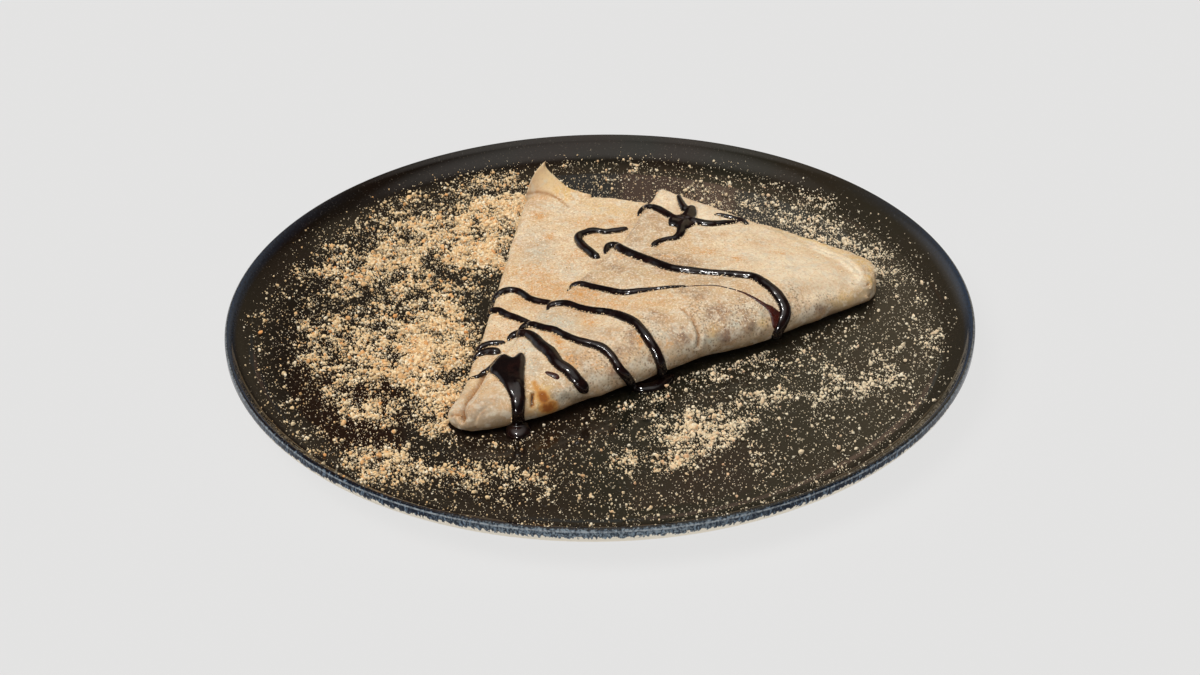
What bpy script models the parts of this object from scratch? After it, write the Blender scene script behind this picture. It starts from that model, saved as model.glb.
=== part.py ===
"""A folded crepe with chocolate drizzle on a low dinner plate.

The plate is turned about Z and stands on its foot ring at z = 0. The crepe is a
round pancake folded to a wedge: a plump fold along the front, a flap over it and
a lower packet that shows on the left. Everything is in metres, with +Y away from
the viewer and +X to the right.
"""

import math

import bmesh
import bpy
import numpy as np
from mathutils import Matrix, Vector

MM = 0.001

# The plate, as radii and heights
PLATE_RADIUS = 135 * MM
PLATE_HEIGHT = 17.5 * MM
FLOOR_TOP = 10 * MM
FLOOR_UNDER = 4.3 * MM
FLOOR_RADIUS = 114 * MM
FOOT_INNER = 78 * MM
FOOT_OUTER = 86 * MM
PLATE_STEPS = 72
LIP_STEPS = 7

# The wedge: where its two edges would meet, and the angles of its two lines
APEX = Vector((-54 * MM, -80 * MM))
FRONT_ANGLE = math.radians(30.7)
LEFT_ANGLE = math.radians(80.9)
PANCAKE_RADIUS = 172 * MM
TIP_START = 9 * MM
TIP_FULL = 21 * MM
CLEARANCE = 0.3 * MM
SHEET = 1.7 * MM
WELD = 0.001 * MM

# Sizes of the folds, each as (distance from the apex, size)
RIDGE_HEIGHT = [(10, 9), (25, 13.5), (50, 16.5), (80, 18.5), (110, 19.5), (130, 18), (150, 15.5)]
RIDGE_HEIGHT += [(168, 12), (184, 9)]
FLAP_EDGE_HEIGHT = [(10, 8.5), (25, 12.5), (50, 14.5), (90, 14.5), (130, 14.5), (160, 16), (184, 17)]
PACKET_HEIGHT = [(10, 6.5), (30, 9), (70, 9.5), (120, 9), (184, 8)]
LEFT_HEIGHT = [(10, 6), (30, 7), (100, 7), (184, 6)]
FRONT_BULGE = [(10, 1.5), (40, 3.5), (100, 4), (150, 3.5), (184, 2)]
RIDGE_SETBACK = [(10, 5), (30, 9.5), (60, 12.5), (130, 13), (184, 9)]
HEM_WIDTH = 3.2 * MM
LEFT_ROLL = 3.5 * MM
EQUATOR_SHARE = 0.42
FRONT_UNDERCUT = 0.62
SWELL = 0.35 * MM

# The flap's free edge wanders a little, as (distance from the apex, angle in degrees)
FLAP_LINE = [(10, 60), (30, 64), (60, 65.2), (90, 64.5), (110, 63), (130, 62.2), (150, 63), (184, 63.6)]

# Where the front fold is pressed in, how far, and how far that reaches
DENT_PLACE = 103 * MM
DENT_DEPTH = 2.5 * MM
DENT_LENGTH = 16 * MM
DENT_WIDTH = 30 * MM

# How far each part of the open back edge reaches, as (angle in degrees, distance)
BACK_REACH = [(30.7, 175), (31.5, 180), (33, 184), (35, 185), (37, 184), (42, 180), (49, 177)]
BACK_REACH += [(55, 174), (62, 173), (81, 171)]
FLAP_SHORTFALL = [(30.7, 0), (33, 1.5), (37, 5.5), (42, 5), (48, 3), (53, 0), (81, 0)]

# The ends of the layers stand in and out by this much where they lie open, and the closed
# end of the front fold swells out
LAYER_STEP = 0.9 * MM
LAYER_ROWS = 8
END_BELLY = 2.5 * MM
OPEN_FROM = math.radians(6)
EDGE_PINCH = 0.94

# The last two rows before the open edge stand at these shares of the reach
EDGE_ROWS = (0.975, 0.99)

# How many columns of the skin each stretch of a section takes, and how many rows the wedge
FRONT_COLUMNS = 9
FLAP_COLUMNS = 8
HEM_COLUMNS = 4
PACKET_COLUMNS = 7
ROLL_COLUMNS = 4
WEDGE_ROWS = 18

# The back corner of the lower packet, whose top sheet curls up to a point
CURL_LEFT = (-27.5, 84)
CURL_RIGHT = (-5, 83.5)
CURL_TIP = (-20.5, 88)
CURL_RISE = 12.5 * MM
CURL_SINK = 1.5 * MM
CURL_BOW = -4.5 * MM
CURL_TAPER = 0.94
CURL_ROWS = 7
CURL_COLUMNS = 8

# The chocolate drizzle. A place is a distance from the apex and one across from the front
# line; a strand is its radius, its places on the skin and, where it runs down to the plate,
# the place and level of its foot
STRAND_STEP = 3.6 * MM
STRAND_SINK = 0.3 * MM
STRAND_START = 0.55
STRAND_GROWTH = 0.25
STRAND_END = 0.7
STRANDS = {
    "packet_1": (1.6, [(89, 76), (97, 79), (95, 70), (91, 60), (87, 51)], None),
    "packet_2": (1.6, [(85, 74), (82, 67), (78, 57), (75, 48)], None),
    "packet_3": (1.4, [(55, 46), (59, 45), (60, 38)], None),
    "packet_4": (1.4, [(49, 42), (54, 41), (54, 35)], None),
    "packet_5": (1.3, [(36, 29), (38, 23)], None),
    "packet_hook": (1.8, [(150, 86), (147, 94), (147, 101), (140, 99), (132, 88), (128, 77)], None),
    "flap_1": (1.8, [(79, 45), (83, 44), (82, 31), (84, 17), (84, 6), (85, -2)], (87, -3.4, 1.8)),
    "flap_2": (1.7, [(68, 40), (65, 29), (63, 17), (65, 8), (68, 1), (71, -3)], (75, -3.6, 1.8)),
    "flap_3": (2.0, [(63, 38), (59, 30), (53, 16), (50, 6), (53, -1.5), (55, -3)], None),
    "flap_4": (2.2, [(44, 22), (42, 15), (38, 9), (32, 1), (29, -2)], (28, -3, 1.8)),
    "flap_5": (1.9, [(127, 67), (123, 50), (124, 35), (134, 21), (139, 9), (139, 1)], (137, -3, 3.5)),
    "flap_6": (1.4, [(94, 52), (97, 43), (98, 32), (113, 24), (123, 18)], None),
    "peak_left": (1.7, [(163, 92), (158, 83), (156, 69)], None),
    "peak_right": (1.7, [(157, 70), (160, 62), (168, 59)], None),
    "peak_edge": (1.5, [(166, 67), (170, 58)], None),
    "peak_back": (1.7, [(168, 85), (158, 72)], None),
    "peak_front": (1.9, [(157, 71), (145, 60), (135, 61)], None),
}
# Puddles on the skin, as place and half sizes
PUDDLES = [((43, 19), (5.5, 8.5)), ((43.5, 27), (3, 4)), ((157, 70), (3.4, 4.2))]
PUDDLE_HEIGHT = 1.7 * MM
PUDDLE_SIDES = 14

# What has run on to the plate: place, half sizes and height
POOL = ((82, -3), (9, 3.6), 2.6)
DROP = ((27.5, -3), (2.3, 2.6), 2.8)
DROP_SIDES = 18

# Edges sharper than these angles stay sharp in the shading
PLATE_SHARP = math.radians(40)
CREPE_SHARP = math.radians(50)


def clear_scene():
    """Takes away whatever the scene starts with."""
    for thing in list(bpy.data.objects):
        bpy.data.objects.remove(thing, do_unlink=True)


def finish(name, colour, roughness, metallic=0.0):
    """A material with one colour and one gloss."""
    material = bpy.data.materials.new(name)
    material.use_nodes = True
    shader = material.node_tree.nodes["Principled BSDF"]
    shader.inputs["Base Color"].default_value = (*colour, 1)
    shader.inputs["Roughness"].default_value = roughness
    shader.inputs["Metallic"].default_value = metallic
    return material


def smooth_through(stations, position):
    """A smooth curve through (position, value) pairs, read at one position."""
    places = [place for place, _ in stations]
    values = [value for _, value in stations]
    if position <= places[0]:
        return values[0]
    if position >= places[-1]:
        return values[-1]
    slopes = np.gradient(values, places)
    i = int(np.searchsorted(places, position, side="right")) - 1
    gap = places[i + 1] - places[i]
    t = (position - places[i]) / gap
    start = values[i] * (1 + 2 * t) * (1 - t) ** 2 + values[i + 1] * t * t * (3 - 2 * t)
    return float(start + gap * (slopes[i] * t * (1 - t) ** 2 - slopes[i + 1] * t * t * (1 - t)))


def size_at(stations, reach):
    """A fold's size, in metres, at a distance from the apex in metres."""
    return smooth_through(stations, reach / MM) * MM


def in_plan(reach, across):
    """The point at a distance from the apex and a distance across from the front line."""
    angle = FRONT_ANGLE + (across + front_dent(reach, across)) / reach
    return APEX + reach * Vector((math.cos(angle), math.sin(angle)))


def front_dent(reach, across):
    """The front fold is pressed in a little where the drizzle pools at its foot."""
    near_front = max(0.0, 1 - max(0.0, across) / DENT_WIDTH)
    return DENT_DEPTH * near_front * math.exp(-(((reach - DENT_PLACE) / DENT_LENGTH) ** 2))


def back_reach(angle, depth):
    """How far the open edge reaches, from its top sheet (depth 0) to its lowest (depth 1)."""
    degrees = math.degrees(angle)
    reach = smooth_through(BACK_REACH, degrees)
    shortfall = smooth_through(FLAP_SHORTFALL, degrees) * max(0.0, 1 - 3 * depth)
    wander = 0.5 * math.sin(7 * angle + 5 * depth) + 0.35 * math.sin(19 * angle + 11 * depth)
    return (reach - shortfall + wander) * MM


def quarter_turn(step, steps):
    """The angle of one of the steps that share a quarter turn."""
    return math.pi / 2 * step / steps


def upper_line(reach):
    """(across, height) of the upper skin, from the front fold's outside to the left fold's."""
    width = reach * (LEFT_ANGLE - FRONT_ANGLE)
    flap = reach * (math.radians(smooth_through(FLAP_LINE, reach / MM)) - FRONT_ANGLE)
    ridge = size_at(RIDGE_HEIGHT, reach)
    edge = size_at(FLAP_EDGE_HEIGHT, reach)
    packet = size_at(PACKET_HEIGHT, reach)
    left = size_at(LEFT_HEIGHT, reach)
    bulge = size_at(FRONT_BULGE, reach)
    setback = min(size_at(RIDGE_SETBACK, reach), 0.6 * flap)
    equator = EQUATOR_SHARE * ridge
    hem = min(HEM_WIDTH, 0.25 * flap)
    roll = min(LEFT_ROLL, 0.12 * width)
    line = []
    for i in range(FRONT_COLUMNS):
        turn = quarter_turn(i, FRONT_COLUMNS)
        across = -bulge + (setback + bulge) * (1 - math.cos(turn))
        line.append((across, equator + (ridge - equator) * math.sin(turn) ** 0.9))
    for i in range(FLAP_COLUMNS):
        t = i / FLAP_COLUMNS
        line.append((setback + (flap - hem - setback) * t, ridge + (edge - ridge) * t**1.3))
    for i in range(HEM_COLUMNS + 1):
        turn = quarter_turn(i, HEM_COLUMNS)
        line.append((flap - hem + hem * math.sin(turn), packet + (edge - packet) * math.cos(turn)))
    for i in range(1, PACKET_COLUMNS + 1):
        t = i / PACKET_COLUMNS
        line.append((flap + (width - roll - flap) * t, packet + (left - packet) * t))
    for i in range(1, ROLL_COLUMNS + 1):
        turn = quarter_turn(i, ROLL_COLUMNS)
        line.append((width - roll + roll * math.sin(turn), 0.5 * left * (1 + math.cos(turn))))
    return line


def section(reach):
    """Columns of (across, top, bottom) from the front fold to the left fold."""
    line = upper_line(reach)
    front, equator = line[0]
    width, half_left = line[-1]
    front_roll = FRONT_UNDERCUT * (line[FRONT_COLUMNS][0] - front)
    left_roll = width - line[-1 - ROLL_COLUMNS][0]
    ridge = size_at(RIDGE_HEIGHT, reach)
    columns = []
    for across, top in line:
        near_front = max(0.0, 1 - (across - front) / front_roll)
        near_left = max(0.0, 1 - (width - across) / left_roll)
        bottom = CLEARANCE
        bottom += (equator - CLEARANCE) * (1 - math.sqrt(1 - near_front**2))
        bottom += (half_left - CLEARANCE) * (1 - math.sqrt(1 - near_left**2))
        columns.append((across, top + swells(reach, across) * min(1.0, top / ridge), bottom))
    return columns


def swells(reach, across):
    """Low swells in the upper skin, where the sheet lies slack."""
    wave = math.sin(reach / (11 * MM) + 1.1) * math.sin(across / (9 * MM) + 0.4)
    return SWELL * (wave + 0.6 * math.sin(reach / (6.5 * MM) - across / (14 * MM)))


def shrink(columns, scale):
    """A section drawn in towards its middle, to round off the tip."""
    middle = 0.5 * (columns[0][0] + columns[-1][0])
    level = columns[0][1]
    return [
        (
            middle + scale * (across - middle),
            level + scale * (top - level),
            max(CLEARANCE, level + scale * (bottom - level)),
        )
        for across, top, bottom in columns
    ]


def crepe_stations():
    """Shares of the whole reach, closer together at the tip and at the open edge."""
    tip = [TIP_START + (TIP_FULL - TIP_START) * share for share in (0, 0.05, 0.2, 0.45, 0.75, 1)]
    shares = [reach / PANCAKE_RADIUS for reach in tip]
    last = shares[-1]
    shares += [last + (EDGE_ROWS[0] - last) * i / WEDGE_ROWS for i in range(1, WEDGE_ROWS + 1)]
    return shares + [EDGE_ROWS[1], 1.0]


def crepe_body():
    """The folded pancake as one closed skin: an upper and a lower sheet and the open edge."""
    mesh = bmesh.new()
    upper, lower = [], []
    for share in crepe_stations():
        reach = share * PANCAKE_RADIUS
        columns = section(reach)
        if reach < TIP_FULL:
            fullness = (reach - TIP_START) / (TIP_FULL - TIP_START)
            columns = shrink(columns, 0.3 + 0.7 * math.sqrt(1 - (1 - fullness) ** 2))
        tops, bottoms = [], []
        last = len(columns) - 1
        for column, (across, top, bottom) in enumerate(columns):
            angle = FRONT_ANGLE + max(0.0, across) / reach
            depth = 0.5 if column in (0, last) else 0.0
            far = share * back_reach(angle, depth)
            if share == 1.0:
                top = bottom + EDGE_PINCH * (top - bottom)
            place = in_plan(far, across * far / reach)
            tops.append(mesh.verts.new((*place, FLOOR_TOP + top)))
            if column in (0, last):
                bottoms.append(tops[-1])
                continue
            far = share * back_reach(angle, 1.0)
            place = in_plan(far, across * far / reach)
            bottoms.append(mesh.verts.new((*place, FLOOR_TOP + bottom)))
        upper.append(tops)
        lower.append(bottoms)
    for tops, next_tops, bottoms, next_bottoms in zip(upper, upper[1:], lower, lower[1:]):
        for j in range(len(tops) - 1):
            add_face(mesh, (tops[j], next_tops[j], next_tops[j + 1], tops[j + 1]))
            add_face(mesh, (bottoms[j + 1], next_bottoms[j + 1], next_bottoms[j], bottoms[j]))
    close_end(mesh, lower[0], upper[0])
    layered_edge(mesh, upper[-1], lower[-1])
    return mesh_object("crepe", mesh)


def add_face(mesh, corners):
    """A face of three or four corners; a repeated corner is left out."""
    kept = []
    for corner in corners:
        if corner not in kept:
            kept.append(corner)
    if len(kept) > 2:
        mesh.faces.new(kept)


def close_end(mesh, first, second):
    """A strip of faces between two rows of points."""
    for j in range(len(first) - 1):
        add_face(mesh, (first[j], second[j], second[j + 1], first[j + 1]))


def layered_edge(mesh, tops, bottoms):
    """The open edge between the upper and lower sheets, with the ends of the layers as ridges."""
    previous = tops
    for step in range(1, LAYER_ROWS):
        depth = step / LAYER_ROWS
        row = []
        for top, bottom in zip(tops, bottoms):
            if top is bottom:
                row.append(top)
                continue
            point = top.co.lerp(bottom.co, depth)
            outward = (point.to_2d() - APEX).normalized()
            angle = math.atan2(outward.y, outward.x)
            opened = min(1.0, max(0.0, (angle - FRONT_ANGLE) / OPEN_FROM))
            ridge = LAYER_STEP if step % 2 else -LAYER_STEP
            belly = END_BELLY * 4 * depth * (1 - depth)
            reach = back_reach(angle, depth) + ridge * opened + belly * (1 - opened)
            place = APEX + outward * reach
            row.append(mesh.verts.new((*place, point.z)))
        close_end(mesh, previous, row)
        previous = row
    close_end(mesh, previous, bottoms)


def to_data(name, mesh):
    """The mesh data of an edited mesh, with its faces pointing out."""
    bmesh.ops.recalc_face_normals(mesh, faces=mesh.faces)
    data = bpy.data.meshes.new(name)
    mesh.to_mesh(data)
    mesh.free()
    return data


def mesh_object(name, mesh):
    """An object in the scene, from an edited mesh."""
    made = bpy.data.objects.new(name, to_data(name, mesh))
    bpy.context.collection.objects.link(made)
    return made


def skin(reach, across):
    """The point of the upper skin at a distance from the apex and across from the front line."""
    places, heights, _ = zip(*section(reach))
    height = float(np.interp(across, places, heights))
    return Vector((*in_plan(reach, across), FLOOR_TOP + height))


def skin_axes(reach, across):
    """A point on the skin as a matrix: its X along the reach, its Z out of the skin."""
    step = 2 * MM
    here = skin(reach, across)
    along = skin(reach + step, across) - here
    aside = skin(reach, across + step) - here
    normal = along.cross(aside).normalized()
    along.normalize()
    turned = Matrix((along, normal.cross(along), normal)).transposed().to_4x4()
    return Matrix.Translation(here) @ turned


def strand_route(waypoints, foot):
    """Points along a strand: its waypoints joined on the skin, then straight down to its foot."""
    reaches = list(enumerate(point[0] for point in waypoints))
    acrosses = list(enumerate(point[1] for point in waypoints))
    length = sum(math.dist(a, b) for a, b in zip(waypoints, waypoints[1:]))
    count = max(3, round(length * MM / STRAND_STEP))
    points = []
    for i in range(count + 1):
        place = i * (len(waypoints) - 1) / count
        reach = smooth_through(reaches, place) * MM
        across = smooth_through(acrosses, place) * MM
        axes = skin_axes(reach, across)
        points.append(axes.translation - STRAND_SINK * axes.col[2].to_3d())
    if foot:
        reach, across, level = (size * MM for size in foot)
        points.append(Vector((*in_plan(reach, across), FLOOR_TOP + level)))
    return points


def strand(name, radius, waypoints, foot):
    """One strand of drizzle as a round cord that starts thin, half sunk in the skin."""
    curve = bpy.data.curves.new(name, "CURVE")
    curve.dimensions = "3D"
    curve.bevel_depth = radius * MM
    curve.bevel_resolution = 2
    curve.use_fill_caps = True
    points = strand_route(waypoints, foot)
    spline = curve.splines.new("POLY")
    spline.points.add(len(points) - 1)
    for i, (target, point) in enumerate(zip(spline.points, points)):
        target.co = (*point, 1)
        target.radius = min(1.0, STRAND_START + STRAND_GROWTH * i)
    if not foot:
        spline.points[-1].radius = STRAND_END
    guide = bpy.data.objects.new(name, curve)
    mesh = bmesh.new()
    mesh.from_mesh(guide.to_mesh())
    bmesh.ops.remove_doubles(mesh, verts=mesh.verts, dist=WELD)
    bpy.data.objects.remove(guide, do_unlink=True)
    return to_data(name, mesh)


def lens(name, axes, half_sizes):
    """A flat round drop with the given half sizes, as a squashed ball."""
    mesh = bmesh.new()
    bmesh.ops.create_uvsphere(mesh, u_segments=PUDDLE_SIDES, v_segments=8, radius=1)
    bmesh.ops.scale(mesh, vec=half_sizes, verts=mesh.verts)
    bmesh.ops.transform(mesh, matrix=axes, verts=mesh.verts)
    return to_data(name, mesh)


def dome(name, place, half_sizes, height):
    """A drop that lies on the plate: the upper half of a squashed ball, flat below."""
    centre = in_plan(place[0] * MM, place[1] * MM)
    mesh = bmesh.new()
    bmesh.ops.create_uvsphere(mesh, u_segments=DROP_SIDES, v_segments=8, radius=1)
    bmesh.ops.bisect_plane(
        mesh,
        geom=mesh.verts[:] + mesh.edges[:] + mesh.faces[:],
        dist=0.001,
        plane_co=(0, 0, 0),
        plane_no=(0, 0, 1),
        clear_inner=True,
    )
    bmesh.ops.holes_fill(mesh, edges=[edge for edge in mesh.edges if edge.is_boundary])
    bmesh.ops.scale(mesh, vec=(half_sizes[0] * MM, half_sizes[1] * MM, height * MM), verts=mesh.verts)
    turn = Matrix.Rotation(FRONT_ANGLE, 4, "Z")
    move = Matrix.Translation((*centre, FLOOR_TOP + CLEARANCE))
    bmesh.ops.transform(mesh, matrix=move @ turn, verts=mesh.verts)
    return to_data(name, mesh)


def curled_corner():
    """The thin corner of the top sheet, from a base sunk in the packet up to its point."""
    left, right, tip = (Vector(point) * MM for point in (CURL_LEFT, CURL_RIGHT, CURL_TIP))
    base_level = FLOOR_TOP + size_at(LEFT_HEIGHT, PANCAKE_RADIUS) - CURL_SINK
    mesh = bmesh.new()
    grid = []
    for i in range(CURL_ROWS):
        rise = i / (CURL_ROWS - 1)
        line = []
        for j in range(CURL_COLUMNS):
            side = j / (CURL_COLUMNS - 1)
            narrow = 1 - CURL_TAPER * rise
            place = left.lerp(right, side) * narrow + tip * (1 - narrow)
            bow = CURL_BOW * math.sin(math.pi * side) * narrow
            level = base_level + (CURL_RISE + CURL_SINK) * rise ** (1.1 + 0.8 * side)
            line.append(mesh.verts.new((place.x, place.y + bow, level)))
        grid.append(line)
    for low, high in zip(grid, grid[1:]):
        for j in range(CURL_COLUMNS - 1):
            mesh.faces.new((low[j], low[j + 1], high[j + 1], high[j]))
    thick = mesh_object("curl", mesh)
    solidify = thick.modifiers.new("thickness", "SOLIDIFY")
    solidify.thickness = SHEET
    solidify.offset = 0
    return thick


def fuse(body, pieces):
    """Joins the pieces to the body in one union, so that the food is one solid."""
    group = bpy.data.collections.new("fused")
    bpy.context.scene.collection.children.link(group)
    for piece in pieces:
        for collection in list(piece.users_collection):
            collection.objects.unlink(piece)
        group.objects.link(piece)
    union = body.modifiers.new("union", "BOOLEAN")
    union.operation = "UNION"
    union.operand_type = "COLLECTION"
    union.collection = group
    union.material_mode = "TRANSFER"
    graph = bpy.context.evaluated_depsgraph_get()
    joined = bpy.data.meshes.new_from_object(body.evaluated_get(graph))
    body.modifiers.clear()
    body.data = joined
    for piece in pieces:
        bpy.data.objects.remove(piece, do_unlink=True)
    bpy.data.collections.remove(group)


def drizzle():
    """Every strand, puddle and drop of chocolate, as objects of their own."""
    meshes = [strand(name, *sizes) for name, sizes in STRANDS.items()]
    for place, half in PUDDLES:
        axes = skin_axes(place[0] * MM, place[1] * MM)
        meshes.append(lens("puddle", axes, (half[0] * MM, half[1] * MM, PUDDLE_HEIGHT)))
    meshes.append(dome("pool", *POOL))
    meshes.append(dome("drop", *DROP))
    return [bpy.data.objects.new(mesh.name, mesh) for mesh in meshes]


def plate_profile():
    """(radius, height) of the plate's half section: floor, lip, rim, outside, foot and underside."""
    rim, high, under, top = (size / MM for size in (PLATE_RADIUS, PLATE_HEIGHT, FLOOR_UNDER, FLOOR_TOP))
    flat, foot_in, foot_out = (size / MM for size in (FLOOR_RADIUS, FOOT_INNER, FOOT_OUTER))
    outline = [(0, top), (flat, top)]
    for i in range(1, LIP_STEPS + 1):
        t = i / LIP_STEPS
        rise = 0.35 * t**2 + 0.65 * t**5
        outline.append((flat + (rim - 1 - flat) * t, top + (high - top) * rise))
    outline += [(rim - 0.3, high - 0.35), (rim, high - 1.3), (rim - 0.1, high - 3), (rim - 0.8, high - 5)]
    outline += [(rim - 3, high - 7), (rim - 8, high - 9.4), (rim - 16, high - 11.6), (rim - 26, under + 0.3)]
    outline += [(foot_out + 1.5, under), (foot_out + 0.3, under - 0.8), (foot_out, 0.6)]
    outline += [(foot_out - 0.6, 0), (foot_in + 0.6, 0), (foot_in, 0.6), (foot_in - 0.4, under - 0.8)]
    outline += [(foot_in - 2, under), (0, under)]
    return [(radius * MM, height * MM) for radius, height in outline]


def plate():
    """The plate, turned about Z."""
    mesh = bmesh.new()
    points = [mesh.verts.new((radius, 0, height)) for radius, height in plate_profile()]
    edges = [mesh.edges.new(pair) for pair in zip(points, points[1:])]
    bmesh.ops.spin(
        mesh,
        geom=points + edges,
        axis=(0, 0, 1),
        cent=(0, 0, 0),
        steps=PLATE_STEPS,
        angle=math.tau,
        use_merge=True,
    )
    bmesh.ops.remove_doubles(mesh, verts=mesh.verts, dist=WELD)
    made = mesh_object("plate", mesh)
    made.data.materials.append(finish("dark_glaze", (0.045, 0.038, 0.03), 0.22))
    made.data.shade_smooth()
    made.data.set_sharp_from_angle(angle=PLATE_SHARP)
    return made


def folded_crepe():
    """The crepe with its drizzle, as one solid."""
    sauce = finish("chocolate_sauce", (0.015, 0.008, 0.006), 0.15)
    pancake = finish("pancake", (0.66, 0.50, 0.33), 0.7)
    body = crepe_body()
    body.data.materials.append(pancake)
    corner = curled_corner()
    corner.data.materials.append(pancake)
    chocolate = drizzle()
    for piece in chocolate:
        piece.data.materials.append(sauce)
    fuse(body, [corner] + chocolate)
    body.data.shade_smooth()
    body.data.set_sharp_from_angle(angle=CREPE_SHARP)


clear_scene()
plate()
folded_crepe()
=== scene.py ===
# %% [markdown]
# # A folded crepe with chocolate drizzle, on a dark glazed plate
#
# The real thing is a thin pancake folded to a wedge. It lies on a low stoneware plate with a
# near-black glaze, under strands of chocolate sauce and a scatter of dry crumbs. This lesson
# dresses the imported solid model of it. The frame below is fixed: it says where the plate and
# the crepe are, and every piece made here stands where they stand.

# %% Load the fixed frame
import math

import bmesh
import bpy
import numpy as np
from mathutils import Matrix, Vector, noise
from mathutils.bvhtree import BVHTree


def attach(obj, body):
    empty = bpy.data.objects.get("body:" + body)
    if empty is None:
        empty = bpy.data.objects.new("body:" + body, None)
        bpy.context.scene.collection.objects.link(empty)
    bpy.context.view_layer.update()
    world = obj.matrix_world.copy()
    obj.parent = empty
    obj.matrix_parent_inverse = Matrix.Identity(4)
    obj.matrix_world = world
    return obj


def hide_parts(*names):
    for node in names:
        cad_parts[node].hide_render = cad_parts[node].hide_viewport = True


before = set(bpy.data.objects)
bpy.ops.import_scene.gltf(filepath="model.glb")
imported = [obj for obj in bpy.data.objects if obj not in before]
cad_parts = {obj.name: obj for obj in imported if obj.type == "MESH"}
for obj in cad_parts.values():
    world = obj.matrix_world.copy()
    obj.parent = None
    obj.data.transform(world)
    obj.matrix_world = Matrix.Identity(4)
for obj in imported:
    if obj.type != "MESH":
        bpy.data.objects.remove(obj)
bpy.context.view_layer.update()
MM = 0.001

# %% [markdown]
# ## The camera
#
# A round plate shows as an ellipse, and its ratio gives the height of the eye: here 32 degrees.
# The lens is a long one, so the plate hardly narrows towards the back. The camera comes first
# because the drizzle is drawn through it: a place in the photograph is a ray from the eye, and
# where that ray meets the crepe is where the sauce lies.

# %% Set up the camera
PHOTO_WIDTH = 1200
PHOTO_HEIGHT = 675
EYE_ELEVATION = math.radians(32.158)
EYE_ROLL = math.radians(-0.967)
EYE_DISTANCE = 1.0189
EYE_TARGET = Vector((0, -10.2 * MM, 12 * MM))
LENS = 85
SENSOR = 36
PIXELS_PER_SLOPE = LENS / SENSOR * PHOTO_WIDTH

eye_back = Vector((0, -math.cos(EYE_ELEVATION), math.sin(EYE_ELEVATION)))
level = Vector((1, 0, 0))
above = eye_back.cross(level)
eye_right = level * math.cos(EYE_ROLL) + above * math.sin(EYE_ROLL)
eye_up = above * math.cos(EYE_ROLL) - level * math.sin(EYE_ROLL)
eye = EYE_TARGET + eye_back * EYE_DISTANCE


def add_object(name, data):
    """An object in the scene's own collection."""
    made = bpy.data.objects.new(name, data)
    bpy.context.scene.collection.objects.link(made)
    return made


camera_data = bpy.data.cameras.new("photo_camera")
camera_data.lens = LENS
camera_data.sensor_width = SENSOR
camera = add_object("photo_camera", camera_data)
turned = Matrix((eye_right, eye_up, eye_back)).transposed().to_4x4()
camera.matrix_world = Matrix.Translation(eye) @ turned
bpy.context.scene.camera = camera
print("eye at", [round(c, 3) for c in eye], "m")

# %% [markdown]
# Two small helpers turn places of the photograph into rays, and points of the model back into
# places. The second one is used to paint soft patches on the pancake where the photograph
# shows them.

# %% Between the photograph and the model
def photo_ray(column, row):
    """The direction from the eye through a place of the photograph."""
    sideways = (column - PHOTO_WIDTH / 2) / PIXELS_PER_SLOPE
    upwards = (PHOTO_HEIGHT / 2 - row) / PIXELS_PER_SLOPE
    return (eye_right * sideways + eye_up * upwards - eye_back).normalized()


def photo_places(points):
    """The column and row at which points of the model show, as two arrays."""
    rays = points - np.array(eye)
    depth = -rays @ np.array(eye_back)
    column = PHOTO_WIDTH / 2 + PIXELS_PER_SLOPE * (rays @ np.array(eye_right)) / depth
    row = PHOTO_HEIGHT / 2 - PIXELS_PER_SLOPE * (rays @ np.array(eye_up)) / depth
    return column, row


middle = photo_places(np.array([[0.0, 0.0, 0.0]]))
print("the plate's middle shows at", [round(float(value[0])) for value in middle])

# %% [markdown]
# ## Node helpers
#
# Every finish here is made of nodes. A tree is quicker to read when each node takes one line,
# so `wire` adds a node, sets its options and fills its sockets, with plain values or with the
# outputs of other nodes. The rest are the three moves that every finish needs: a noise of a
# real size, a soft threshold, and a blend of two colours.

# %% Helpers for the finishes
def shade(red, green, blue):
    """A colour as a screen shows it, from 0 to 255, turned to the linear light that nodes use."""
    parts = [c / 255 for c in (red, green, blue)]
    linear = [c / 12.92 if c < 0.04045 else ((c + 0.055) / 1.055) ** 2.4 for c in parts]
    return (*linear, 1.0)


def new_finish(name, roughness):
    """A material, its tree and its shader."""
    finish = bpy.data.materials.new(name)
    finish.use_nodes = True
    shader = finish.node_tree.nodes["Principled BSDF"]
    shader.inputs["Roughness"].default_value = roughness
    return finish, finish.node_tree, shader


def wire(tree, kind, sockets=None, **options):
    """Adds a node and fills its sockets with values or with other nodes' outputs."""
    made = tree.nodes.new("ShaderNode" + kind)
    for name, value in options.items():
        setattr(made, name, value)
    for name, value in (sockets or {}).items():
        if isinstance(value, bpy.types.NodeSocket):
            tree.links.new(value, made.inputs[name])
        else:
            made.inputs[name].default_value = value
    return made


def grain(tree, size, detail=2.0, stretch=None):
    """Noise whose lumps are about size metres across, from 0 to 1."""
    place = wire(tree, "TexCoord").outputs["Object"]
    if stretch:
        place = wire(tree, "Mapping", {"Vector": place, "Scale": stretch}).outputs["Vector"]
    sockets = {"Vector": place, "Scale": 1 / size, "Detail": detail}
    return wire(tree, "TexNoise", sockets).outputs[0]


def threshold(tree, value, low, high, out_low=0.0, out_high=1.0):
    """A soft step between two levels."""
    sockets = {"Value": value, "From Min": low, "From Max": high}
    sockets.update({"To Min": out_low, "To Max": out_high})
    return wire(tree, "MapRange", sockets, interpolation_type="SMOOTHSTEP").outputs[0]


def times(tree, first, second):
    """A product that is held between 0 and 1."""
    sockets = {0: first, 1: second}
    return wire(tree, "Math", sockets, operation="MULTIPLY", use_clamp=True).outputs[0]


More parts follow.
